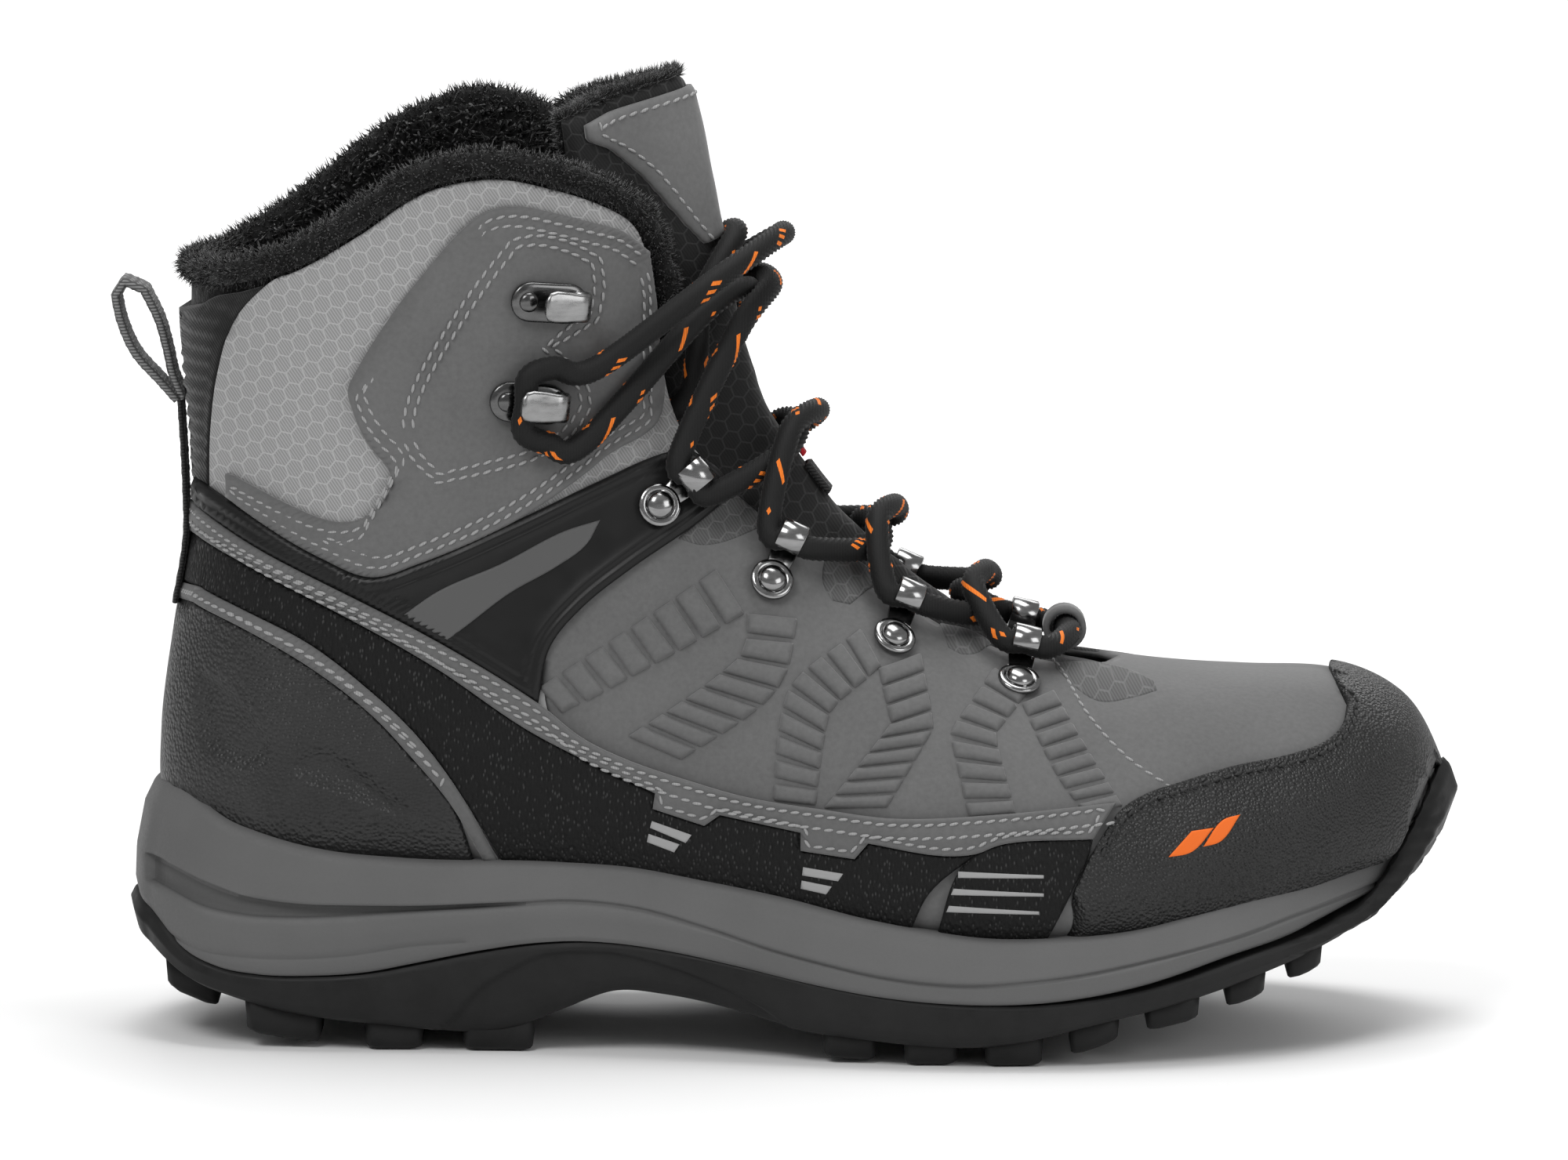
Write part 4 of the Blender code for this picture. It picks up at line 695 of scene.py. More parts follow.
def on_last(points):
    """(t, v) of side-view points."""
    return np.array([last.find(x, z) for x, z in points])


def inside(q, loop):
    """Which of the flat points lie inside a loop."""
    x, y = q[:, 0], q[:, 1]
    hit = np.zeros(len(q), bool)
    for (x1, y1), (x2, y2) in zip(loop, np.roll(loop, -1, axis=0)):
        if y1 != y2:
            hit ^= ((y1 > y) != (y2 > y)) & (x < (x2 - x1) * (y - y1) / (y2 - y1) + x1)
    return hit


# about how many mm one unit of t and of v take on the last
TV_TO_MM = [16, 105]
# points closer than this (m) are made one when a sheet is closed
WELD = 2e-6


def edge_tree(loop, offset, seam):
    """Finds the 3-D distance to a loop's own edges, leaving out the part on the mirror line."""
    following, parts = np.roll(loop, -1, axis=0), 4
    q = np.concatenate([loop + (following - loop) * k / parts for k in range(parts)])
    if seam is not None:
        q = q[np.abs(q[:, 1] - seam) > 1e-4]
    p = last.at(q[:, 0], q[:, 1], offset)
    tree = kdtree.KDTree(len(p))
    for k, c in enumerate(p):
        tree.insert(c, k)
    tree.balance()
    return tree


def depths(tree, q, offset):
    """3-D distances (mm) of (t, v) points from a loop's edges."""
    return np.array([tree.find(c)[2] for c in last.at(q[:, 0], q[:, 1], offset)])


def stretch(loop, offset):
    """How many mm one unit of t and one of v take at each point of a loop."""
    t, v = loop[:, 0], loop[:, 1]
    along_t = last.at(t + 0.02, v, offset) - last.at(t - 0.02, v, offset)
    along_v = last.at(t, v * 0.98 + 0.02, offset) - last.at(t, v * 0.98, offset)
    return np.stack([np.linalg.norm(along_t, axis=1) / 0.04, np.linalg.norm(along_v, axis=1) / 0.02], axis=1)


def inward_of(loop, scale=1.0):
    """Unit directions (mm) that point into a loop at its points."""
    flat = units((np.roll(loop, -1, axis=0) - np.roll(loop, 1, axis=0)) * scale)
    area = np.sum(loop[:, 0] * np.roll(loop[:, 1], -1) - np.roll(loop[:, 0], -1) * loop[:, 1])
    return np.stack([-flat[:, 1], flat[:, 0]], axis=1) * (1 if area > 0 else -1)


def filling(loop, cell):
    """Staggered (t, v) points, about one cell apart, over a loop's whole extent."""
    (t_low, v_low), (t_high, v_high) = loop.min(axis=0), loop.max(axis=0)
    t_fine, v_fine = np.linspace(t_low, t_high, 200), np.linspace(v_low, v_high, 60)
    run = lengths(last.at(t_fine, (v_low + v_high) / 2, 0))
    grid = []
    for k, t in enumerate(np.interp(np.arange(cell / 2, run[-1], cell * 0.87), run, t_fine)):
        width = lengths(last.at(t, v_fine, 0))
        if width[-1] > cell:
            v = np.interp(np.arange((k % 2) * cell / 2, width[-1], cell), width, v_fine)
            grid.append(np.stack([np.full(len(v), t), v], axis=1))
    return np.concatenate(grid) if grid else np.zeros((0, 2))


def panel_points(loop, tree, top, cell, seam, rows):
    """The points of a sheet's face: its edge, rows beside the edge, and a filling."""
    scale = np.maximum(stretch(loop, top), 2.0)
    inward = inward_of(loop, scale)
    points = [loop]
    for row in rows:
        q = loop + inward * row / scale
        q = q[inside(q, loop)]
        if len(q):
            points.append(q[depths(tree, q, top) > row * 0.85])
    grid = filling(loop, cell)
    grid = grid[inside(grid, loop)]
    if seam is not None:
        grid = grid[np.abs(grid[:, 1] - seam) > 0.008]
    if len(grid):
        points.append(grid[depths(tree, grid, top) > rows[-1] + cell * 0.45])
    return np.concatenate([p for p in points if len(p)])


def open_edges(tris):
    """The edges that only one triangle has."""
    used = {}
    for tri in tris:
        for a, b in zip(tri, (*tri[1:], tri[0])):
            used[frozenset((a, b))] = used.get(frozenset((a, b)), 0) + 1
    return [tuple(e) for e, times in used.items() if times == 1]


def panel_mesh(loop, top, round_r=0.7, cell=2.6, seam=None, rows=(0.25, 0.6, 1.1, 1.8), lift=None):
    """A sheet's face: its (t, v) points, their heights, its triangles, and its border edges."""
    loop = np.asarray(loop, float)
    loop = loop[np.linalg.norm((loop - np.roll(loop, 1, axis=0)) * TV_TO_MM, axis=1) > 0.15]
    tree = edge_tree(loop, top, seam)
    metric = panel_points(loop, tree, top, cell, seam, rows) * TV_TO_MM
    edges = [(k, (k + 1) % len(loop)) for k in range(len(loop))]
    verts, _, tris, *_ = delaunay_2d_cdt([Vector(p) for p in metric], edges, [], 1, 1e-5, False)
    q = np.array([tuple(p) for p in verts]) / TV_TO_MM
    tris = [tuple(t) for t in np.array(tris)[inside(q[np.array(tris)].mean(axis=1), loop)].tolist()]
    d = depths(tree, q, top)
    d[d < 0.02] = 0
    share = 1 - np.clip(d / round_r, 0, 1)
    height = top - round_r * (1 - np.sqrt(np.maximum(1 - share * share, 0)))
    if lift is not None:
        height = height + lift(q[:, 0], q[:, 1], d)
    border = open_edges(tris)
    if seam is not None:
        border = [e for e in border if not all(abs(q[k, 1] - seam) < 1e-4 for k in e)]
    return q, height, tris, border


def sheet_parts(q, height, tris, border, low, sign):
    """Closed (points, faces) of one side: face, walls and underside."""
    count = len(q)
    outer = place(last.at(q[:, 0], q[:, 1] * sign, height))
    inner = place(last.at(q[:, 0], q[:, 1] * sign, low))
    faces = list(tris) + [(count + c, count + b, count + a) for a, b, c in tris]
    faces += [(a, b, count + b, count + a) for a, b in border]
    return np.vstack([outer, inner]), faces


def add_panel(name, loop, top, low, mat, replaces=(), slot=None, seam=None, body="boot", only=None, **shape):
    """One sheet across the mirror line, or a pair of sheets, on the last."""
    q, height, tris, border = panel_mesh(loop, top, seam=seam, **shape)
    parts = {side: sheet_parts(q, height, tris, border, low, sign) for side, sign in SIDES.items()}
    if seam is not None:
        points, faces = merged(parts.values())
        return [piece(name, points, faces, mat, body, replaces, slot, merge=WELD)]
    made = []
    for side, (points, faces) in parts.items():
        if only not in (None, side):
            continue
        own = [n.replace("*", side) for n in replaces]
        made.append(piece(f"{name}_{side}", points, faces, mat, body, own, slot, merge=WELD))
    return made


def wrinkles(size, depth, seed=0.0):
    """A height function of slow noise (mm)."""
    def lift(t, v, d):
        p = last.at(t, v, 0) / size
        return np.array([noise.noise(Vector((x + seed, y, z))) for x, y, z in p]) * depth * np.clip(d / 3, 0, 1)
    return lift


def both(*functions):
    return lambda t, v, d: sum(f(t, v, d) for f in functions)


def seam_groove(at, width=0.45, depth=0.28):
    """Pulls the sheet down along a row of stitches at a distance from its edge."""
    return lambda t, v, d: -depth * np.exp(-((d - at) / width) ** 2)


# ---- stitches ----
STITCH, PITCH, THREAD_R, STITCH_SLANT = 2.0, 2.75, 0.34, 0.16
stitches = {"thread_grey": [], "thread_black": [], "tongue_thread": []}


def capsule():
    """One stitch of unit size, along x."""
    rings, around = [(-1.0, 0.45), (-0.6, 0.95), (0.0, 1.1), (0.6, 0.95), (1.0, 0.45)], 6
    points = [(s, r * math.cos(a), r * math.sin(a)) for s, r in rings
              for a in np.linspace(0, 2 * math.pi, around, endpoint=False)]
    return np.array(points), end_caps(len(rings), around) + tube_faces(len(rings), around)


CAPSULE = capsule()


def stitch_row(tv, height, colour="thread_grey", on_tongue=None):
    """Stitches along a (t, v) line on both sides of the boot."""
    tv = np.asarray(tv, float)
    if on_tongue is not None:
        height = tongue_lift(tv[:, 0], tv[:, 1]) + on_tongue
    for sign in SIDES.values():
        line = place(last.at(tv[:, 0], tv[:, 1] * sign, height)) * 1000
        raised = place(last.at(tv[:, 0], tv[:, 1] * sign, height + 1)) * 1000
        run = lengths(line)
        at = np.arange(PITCH / 2, run[-1] - PITCH / 4, PITCH)
        if not len(at):
            continue
        centre, up = points_at(at, run, line), points_at(at, run, raised - line)
        ahead = units(points_at(at + 0.8, run, line) - points_at(at - 0.8, run, line))
        side = units(np.cross(up, ahead))
        ahead = ahead + side * STITCH_SLANT
        up = np.cross(ahead, side)
        local, faces = CAPSULE
        points = (centre[:, None] + local[None, :, 0:1] * ahead[:, None] * STITCH / 2
                  + local[None, :, 1:2] * side[:, None] * THREAD_R + local[None, :, 2:3] * up[:, None] * THREAD_R)
        stitches[colour] += [(p / 1000, faces) for p in points]


def inset(loop, distance, seam=None):
    """A (t, v) loop moved inward by a distance in mm, cleaned of crossings."""
    scale = stretch(loop, 0)
    q = loop + inward_of(loop, scale) * distance / scale
    return q[depths(edge_tree(loop, 0.0, seam), q, 0.0) > distance * 0.9]


def smooth(points, parts=2):
    """Extra points on a smooth curve through an outline's own points."""
    return [tuple(p) for p in spline(points, np.arange(0, (len(points) - 1) * parts + 1) / parts)]


def tongue_lift(t, v):
    """Height of the tongue's outer face over the last: tucked under the edges, proud along the middle."""
    tuck = -3.5 - 6.5 * np.clip((t - 10.2) / 1.4, 0, 1)
    edge = 0.92 - 0.06 * np.clip((t - 8) / 1.5, 0, 1) + 0.012 * np.clip(t - 11, 0, 1)
    crown = 1.0 + 3.0 * np.clip((t - 10.5) / 2, 0, 1) - 4.3 * np.clip((7.3 - t) / 1.4, 0, 1) - tuck
    u = np.clip((np.abs(v) - edge) / (1 - edge), 0, 1)
    return tuck + crown * (3 - 2 * u) * u * u


def arc(centre, radius, start, end, parts):
    """Points on an arc, angles in degrees."""
    angles = np.radians(np.linspace(start, end, parts + 1))
    return [(centre[0] + radius * math.cos(a), centre[1] + radius * math.sin(a)) for a in angles]


def ring_frame(index, sign):
    lift = SEAT_OVERLAY if index == 0 else SEAT_BASE + 0.25
    point, heading = RINGS[index]
    return seat(point, heading, sign, lift)


def hook_frame(index, sign):
    point, heading = HOOKS[index]
    return seat(point, heading, sign, SEAT_OVERLAY)


def ring_pass(index, sign):
    """Three points through a ring, from its toe side to its ankle side (m)."""
    frame = ring_frame(index, sign)
    toe = 1 if (frame.to_3x3() @ Vector((0, 1, 0))).x > 0 else -1
    return [frame @ Vector((RING_REACH / 1000, y * toe / 1000, RING_RISE / 1000)) for y in (5.5, 0, -5.5)]


def hook_pass(sign):
    """Points round the lower hook: in along its lower edge, under its tongue, out along its upper edge (m)."""
    frame = hook_frame(0, sign)
    up = 1 if (frame.to_3x3() @ Vector((0, 1, 0))).z > 0 else -1
    local = [(13, -7.6, 3.2), (4, -8.2, 3.4), (HOOK_MOUTH, -6.0, HOOK_RISE), (HOOK_MOUTH, 0, HOOK_RISE),
             (HOOK_MOUTH, 6.0, HOOK_RISE), (4, 8.6, 3.6), (14, 9.4, 3.4)]
    return [frame @ Vector((x / 1000, y * up / 1000, z / 1000)) for x, y, z in local]


def over(t, v, sign, lift):
    """A point over the tongue (m); v is 1 on its middle."""
    return Vector(place(last.at(t, v * sign, lift)))


def lace_half(sign, over_first):
    """One half of the lace, from the toe loop's middle up to its tucked end."""
    points = [*ring_pass(3, sign)]
    here = sign
    for count, t in enumerate(CROSSINGS):
        lift = HIGH_STRAND if (count % 2 == 0) == over_first else LOW_STRAND
        points += [over(t + 0.1, 0.925, here, lift - 1.5), over(t, 1.0, 1, lift), over(t - 0.1, 0.925, -here, lift - 1.5)]
        here = -here
        points += ring_pass(2 - count, here)
    lift = (LOW_STRAND if over_first else HIGH_STRAND) + 2.6
    points += [over(12.1, 0.93, here, lift - 2.0), over(12.45, 1.0, 1, lift), over(12.75, 0.91, -here, lift - 1.2)]
    here = -here
    points += hook_pass(here)
    lift = HIGH_STRAND + 8.4 if over_first else LOW_STRAND + 3.2
    points += [over(13.55, 0.90, here, lift - 3.0), over(13.45 if over_first else 13.75, 1.0, 1, lift)]
    here = -here
    points += [over(12.85, 0.93, here, 3.6 if over_first else 2.4), over(12.0, 0.905, here, 1.0),
               over(11.5, 0.885, here, -3.2), over(11.6, 0.85, here, -6.8), over(12.4, 0.82, here, -6.9),
               over(13.2, 0.81, here, -6.9)]
    return points


def resample(points, step):
    """Points along a smooth curve through the given ones, about one step apart (m)."""
    p = np.array([tuple(q) for q in points])
    out = [p[0]]
    slope = np.vstack([p[1] - p[0], (p[2:] - p[:-2]) / 2, p[-1] - p[-2]])
    for k in range(len(p) - 1):
        parts = max(1, round(float(np.linalg.norm(p[k + 1] - p[k])) / step))
        out += [hermite(p[k], p[k + 1], slope[k], slope[k + 1], u) for u in np.arange(1, parts + 1) / parts]
    return out


# ---- upper ----
BASE_TOP, BASE_LOW = -1.0, -2.6
OVER_TOP, OVER_LOW = 0.8, -0.8
STRIP_UP = 1.35
SEAT_BASE, SEAT_OVERLAY = BASE_TOP + 0.3, OVER_TOP + 0.3
TUCK = 2.2      # how far panels go down behind the sole's edge


def welt(x_from, x_to, tuck=TUCK):
    """The sole's upper edge between two x, lowered a little so that panels end behind it."""
    x = np.arange(min(x_from, x_to), max(x_from, x_to) + 1e-6, 3.0)
    z = np.maximum(curve_at(x, FOAM_TOP), np.where(x > 280, curve_at(x, RUBBER_TOP), 0)) - tuck
    line = [tuple(p) for p in np.stack([x, z], axis=1)]
    return line if x_from < x_to else line[::-1]


def side_loop(outline, step=1.6, corner=38):
    return on_last(dense(outline, step, closed=True, corner=corner))


def open_row(outline, step=1.2):
    return on_last(dense(outline, step))


def to_middle(tv, seam):
    """Moves the ends of a line onto the mirror line."""
    tv = np.array(tv)
    tv[[0, -1], 1] = seam
    return tv


def closed_on(tv, seam):
    """A loop whose last run lies on the mirror line: extra points along it."""
    first, final = tv[0], tv[-1]
    run = np.linspace(final[0], first[0], max(3, int(abs(final[0] - first[0]) / 0.12)))[1:-1]
    return np.vstack([tv, np.stack([run, np.full(len(run), seam)], axis=1)])


def back_loop(outline, step=1.6):
    """A panel that wraps round the heel: its open outline starts and ends on the back line (v = 0)."""
    return closed_on(to_middle(on_last(dense(outline, step)), 0.0), 0.0)


INNER_RISE = [(8, 0), (20, 1), (40, 6), (60, 8.5), (80, 8), (100, 5), (116.5, 0), (140, 0)]


def raised(point):
    """A point of the collar's edge on the inner side, where the collar stands higher."""
    return point[0], point[1] + float(curve_at(point[0], INNER_RISE))


def textile_panels():
    for side in SIDES:
        rim = RIM if side == "lateral" else [raised(p) for p in RIM]
        collar = [p for p in rim if p[0] > 37] + COLLAR_FRONT[1:] + BAND_TIP[1:]
        loop = side_loop([*collar, (124, 119.5), (60, 98), (18.5, 114), *COLLAR_BACK[::-1]])
        add_panel("collar_textile", loop, BASE_TOP, BASE_LOW, "textile", ["collar_textile_*"], "ripstop_grey",
                  only=side, lift=both(wrinkles(22, 0.7), wrinkles(7, 0.2, 5.0)), cell=2.0)
    back = back_loop([(16.5, 166), (20.5, 168.8), (27, 170.5), *COLLAR_BACK[1:], (18.5, 114), (14, 114)])
    ribs = lambda t, v, d: 0.42 * np.sin(last.at(t, v, 0)[:, 2] * 2 * math.pi / 3.4) * np.clip(d / 2, 0, 1)
    add_panel("collar_back", back, BASE_TOP + 0.2, BASE_LOW, "softshell", ["collar_back"], "softshell_black", seam=0.0,
              lift=both(ribs, wrinkles(16, 0.5, 9.0)), cell=1.1)


ANKLE_LOOP = [(64.4, 140.9), (66, 148.7), (74.2, 163.8), (82.4, 175.8), (88.5, 183.4), (94.3, 184.1), (102, 181.9),
              (107.9, 178.2), (108.6, 171.3), (107.2, 164.5), (102, 161.4), (97.4, 159.1), (104.8, 150.1),
              (105.7, 144.7), (102, 139.5), (94.3, 134.3), (83.1, 131.2), (71.9, 128.9), (66, 135)]


def left_of(line):
    """Unit directions square to a flat line, on its left."""
    along = units(np.gradient(line, axis=0))
    return np.stack([-along[:, 1], along[:, 0]], axis=1)


def shrunk(outline, by):
    """A closed side-view outline moved inward."""
    p = np.asarray(outline, float)
    return p + inward_of(p) * by


RIB_STRIPS = [
    ([(94, 82.8), (134.9, 109.3)], [(99.3, 76.9), (141.2, 99.8)], 8),
    ([(141.2, 99.8), (140.3, 91.3), (138, 88.9), (113.6, 72)], [(152.5, 98.5), (149.9, 86.4), (146.5, 81.7), (125.6, 67)], 8),
    ([(167, 95.8), (150.9, 84.1), (148.7, 78.3), (146.5, 58)], [(171.2, 87.7), (159.7, 79.2), (158.1, 72), (156.3, 57.6)], 9),
    ([(170.5, 87.3), (173.2, 76), (157.6, 57.1)], [(180.3, 90), (183, 75.1), (171.9, 57.6)], 9),
    ([(196.8, 86.4), (186.1, 74.2), (190.5, 54.9)], [(204.3, 81.4), (196.5, 73.3), (201.2, 56.2)], 8),
    ([(202.6, 79.2), (210.6, 63.9), (216.4, 56.2)], [(210.1, 81.4), (213.7, 75.6), (225.3, 57.6)], 8),
]
INSERTS = [
    [(125.5, 115.5), (131.5, 120), (138.5, 125), (145.5, 119), (146.5, 118), (131.5, 114)],
    [(159, 110), (160.5, 112), (167, 108.5), (172, 104.5), (169.5, 103.5), (164.5, 100.5), (160.5, 101.5), (158.5, 105)],
    [(185, 95), (191.5, 93), (196.5, 90.5), (193.5, 89), (189.5, 89), (186.5, 90.5)],
    [(210.5, 86), (218.5, 85.5), (222, 85), (229, 83.5), (233, 82), (233.5, 80.5), (228.5, 79.5), (220, 79),
     (215, 81.5), (210.5, 85)],
]


def rib_outlines():
    """Side-view outlines of the embossed bars on the vamp."""
    bars = []
    for left, right, count in RIB_STRIPS:
        a, b = dense(left, 0.4), dense(right, 0.4)
        for k in range(count):
            low, high = (k + 0.09) / count, (k + 0.91) / count
            ends = [line[int(share * (len(line) - 1))] for line, share in ((a, low), (a, high), (b, high), (b, low))]
            bars.append(np.array(ends))
    return bars


def ribs():
    """Bars that stand up from the vamp, with rounded ends and clear grooves between."""
    sides = {side: [] for side in SIDES}
    for outline in rib_outlines():
        loop = side_loop(outline, 0.7, 20)
        q, height, tris, border = panel_mesh(loop, BASE_TOP + 1.25, round_r=1.5, cell=1.2,
                                             rows=(0.15, 0.45, 0.85, 1.3))
        for side, sign in SIDES.items():
            sides[side].append(sheet_parts(q, height, tris, border, BASE_LOW + 0.5, sign))
    for side, parts in sides.items():
        points, faces = merged(parts)
        piece(f"vamp_ribs_{side}", points, faces, "nubuck", merge=WELD)


VAMP_END_T = 5.3    # the throat's toe end on the ridge


def vamp_panel():
    side = on_last(dense([(94, 105), (121, 116.5), *BAND_TIP[2:]], 1.6))
    foot = on_last(dense([(96, 80), (103, 48), *welt(106, 290)], 1.8))
    nose_run = [foot[-1] * (1 - s) + np.array([0.55, 1.0]) * s for s in (0.25, 0.5, 0.75)]
    ridge = [(t, 1.0) for t in np.arange(0.55, VAMP_END_T, 0.1)]
    loop = np.array([*side, *THROAT_EDGE, (VAMP_END_T, 1.0), *ridge[::-1], *nose_run[::-1], *foot[::-1]])
    add_panel("vamp", loop, BASE_TOP, BASE_LOW, "nubuck", ["vamp_lateral", "vamp_medial"], "nubuck_grey", seam=1.0,
              lift=wrinkles(30, 0.5, 2.0), cell=2.0, rows=(0.3, 0.8, 1.5))
    ribs()
    for index, outline in enumerate(INSERTS):
        add_panel(f"insert_{index + 1}", side_loop(outline, 1.2), BASE_TOP + 0.25, BASE_LOW + 0.3, "insert", round_r=0.3)


def overlay_panels():
    groove = both(seam_groove(1.9), seam_groove(3.9), wrinkles(25, 0.45, 4.0))
    ankle = [*ANKLE[:-2], (24, 129), (24, 123.5), *[p for p in BAND_TOP if 24 < p[0] < 106], *ANKLE_FRONT[:-1]]
    loop = side_loop(ankle)
    add_panel("ankle_panel", loop, OVER_TOP, OVER_LOW, "nubuck", ["ankle_overlay_*"], "nubuck_grey", lift=groove,
              rows=(0.25, 0.7, 1.3, 1.9, 2.5, 3.3, 3.9, 4.5), cell=2.2)
    for distance in (1.9, 3.9):
        stitch_row(inset(loop, distance), OVER_TOP - 0.1)
    for shape in (ANKLE_LOOP, shrunk(ANKLE_LOOP, 2.1)):
        stitch_row(on_last(dense(shape, 1.0, closed=True)), OVER_TOP + 0.1)
    band = [*BAND_TOP[1:], *BAND_TIP[1:], *BAND_FRONT[1:], *[p for p in STRIP_TOP[::-1] if 15 < p[0] < 94]]
    piping = lambda t, v, d: 0.55 * np.exp(-((d - 1.5) / 0.55) ** 2) + 0.45 * np.exp(-((d - 3.6) / 0.6) ** 2)
    add_panel("side_band", side_loop(band), OVER_TOP, OVER_LOW, "band", ["tpu_band_*"], "band_black",
              lift=both(piping, wrinkles(30, 0.3, 6.0)), rows=(0.25, 0.6, 1.0, 1.5, 2.0, 2.6, 3.1, 3.6, 4.1, 4.8), cell=2.4)
    inset_shape = [(64, 99), (72, 104.5), (86, 110.5), (100, 117.5), (108, 119.8), (105, 114.5), (98, 109.5), (88, 104),
                   (78, 96.5), (74, 93.5)]
    add_panel("band_inset", side_loop(inset_shape), OVER_TOP + 0.35, OVER_LOW + 0.9, "band_inset", round_r=0.3)
    strip = [*STRIP_TOP[1:], (218, 51), *STRIP_STEPS[-2:0:-1], *STRIP_LOW[::-1][:-1]]
    loop = back_loop(strip)
    add_panel("seam_strip", loop, STRIP_UP, OVER_LOW, "strip", ["seam_strip"], "strip_grey", seam=0.0,
              rows=(0.25, 0.7, 1.2, 1.7, 2.2), lift=both(seam_groove(1.5), wrinkles(18, 0.25, 1.0)), cell=2.2)
    stitch_row(inset(loop, 1.5, 0.0), STRIP_UP - 0.12)
    upper_edge = on_last(dense([(x, z - 4.3) for x, z in STRIP_TOP[1:]], 1.2))
    stitch_row(upper_edge, STRIP_UP + 0.02)
    side = [*STRIP_LOW[1:-1], *STRIP_STEPS[:-2], (181.5, 39), *welt(179.5, 87), *[p for p in WELT_TOP[:0:-1] if p[1] > 45]]
    add_panel("side_panel", back_loop(side), OVER_TOP - 0.15, OVER_LOW, "side", ["side_panel"], "grained_black",
              seam=0.0, lift=wrinkles(20, 0.4, 3.0), cell=2.2)
    counter = back_loop([*WELT_TOP[1:-1], *welt(87, 83), *WELT_LOW[-2:0:-1]])
    add_panel("counter_strip", counter, STRIP_UP, OVER_LOW, "strip", ["counter_strip"], "strip_grey", seam=0.0,
              lift=wrinkles(15, 0.2, 7.0), cell=2.2)
    stitch_row(inset(counter, 1.6, 0.0), STRIP_UP - 0.02)
    heel = back_loop([*WELT_LOW[1:-1], *welt(82, 14)])
    hollows = [on_last(dense(shape, 0.8, closed=True)) for shape in (
        [(37, 65.5), (43, 69.5), (49.5, 69.5), (56.5, 64), (65, 56.5), (70, 53), (61.5, 53.5), (51, 58), (41, 61)],
        [(17, 85), (22, 84), (29, 79), (34.5, 71.5), (36, 65), (28, 62.5), (19, 66), (16.5, 75)])]

    def pressed(t, v, d):
        q, depth = np.stack([t, v], axis=1), 0
        for loop in hollows:
            share = np.clip(depths(edge_tree(loop, 0.0, None), q, 0.0) / 3.5, 0, 1)
            depth = depth + np.where(inside(q, loop), 1.5 * (3 - 2 * share) * share * share, 0)
        return -depth

    add_panel("heel_counter", heel, OVER_TOP + 0.1, OVER_LOW, "counter", ["heel_counter"], "grained_black", seam=0.0,
              lift=both(pressed, wrinkles(26, 0.5, 8.0)), cell=1.6)


def toe_panels():
    edge = on_last(dense(TOE_CAP[1:-1], 1.4))
    foot = on_last(dense(welt(212, 290), 1.6))
    nose_run = [foot[-1] * (1 - s) + np.array([0.5, 1.0]) * s for s in (0.3, 0.65)]
    start = (edge[0][0] + 0.02, 1.0)
    ridge = [(t, 1.0) for t in np.arange(0.5, start[0], 0.1)]
    loop = np.array([start, *edge, *foot, *nose_run, *ridge])
    add_panel("toe_cap", loop, OVER_TOP, OVER_LOW, "cap", ["toe_cap"], "grained_black", seam=1.0,
              lift=wrinkles(25, 0.4, 11.0), cell=2.0)
    line = shrunk([*TOE_CAP[1:-1], (240, 20), (330, 20), (330, 88)], 2.0)[:len(TOE_CAP) - 3]
    stitch_row(open_row(line), OVER_TOP + 0.12, "thread_black")
    stitch_row(open_row([(209.7, 87), (212, 84.8), (217.2, 77.1), (225.9, 68.3), (236.2, 61.5)]), BASE_TOP + 0.1)
    fore = [*welt(183, 209.5), (213.2, 39.3), (217.2, 47.8), (218, 51), (197.5, 50), (192, 48), (188, 44)]
    add_panel("toe_side", side_loop(fore), OVER_TOP - 0.1, OVER_LOW, "side", ["toe_side_panel_*"], "grained_black", cell=2.0)
    for index, quad in enumerate([[(234.5, 46.5), (240, 52), (245, 52.5), (240, 47.5)],
                                  [(242.5, 48.5), (247, 54), (251, 55), (246.5, 49.5)]]):
        add_panel(f"toe_accent_{index + 1}", side_loop(quad, 0.8), OVER_TOP + 0.25, OVER_TOP - 0.6, "accent", round_r=0.2)
    for index, quad in enumerate([[(119.8, 53.8), (128.7, 50.9), (127.4, 49.1), (119.4, 52.3)],
                                  [(119.1, 50.9), (126, 48.7), (124.8, 46.9), (118.7, 49.1)],
                                  [(153.6, 44.4), (162.5, 43.2), (161.4, 41.5), (153.4, 42.6)],
                                  [(153.3, 41.4), (160, 40.3), (158.8, 38.5), (153.1, 39.6)],
                                  [(188, 44.2), (207, 43.4), (207, 42.7), (188, 42.8)],
                                  [(187, 40.4), (207, 39.4), (207, 38.7), (186.4, 39.0)],
                                  [(186, 36.6), (206, 35.4), (206, 34.7), (185.4, 35.2)]]):
        add_panel(f"print_{index + 1}", side_loop(quad, 0.8), OVER_TOP + 0.1, OVER_TOP - 0.7, "print", round_r=0.12)


# ---- sole ----
def plan(stations):
    half = np.maximum(curve_at(stations * BOOT_LENGTH, SOLE_HALF), 0)
    half[[0, -1]] = 0
    return half


def wall_ring(stations, half, share, rings):
    """x and half width of the wall at a share of its height, per station."""
    table = np.array(rings)
    front, back, swell = (np.interp(share, table[:, 0], table[:, k]) for k in (1, 2, 3))
    return back + (front - back) * stations, np.maximum(half + swell * np.sqrt(half / half.max()), 0)


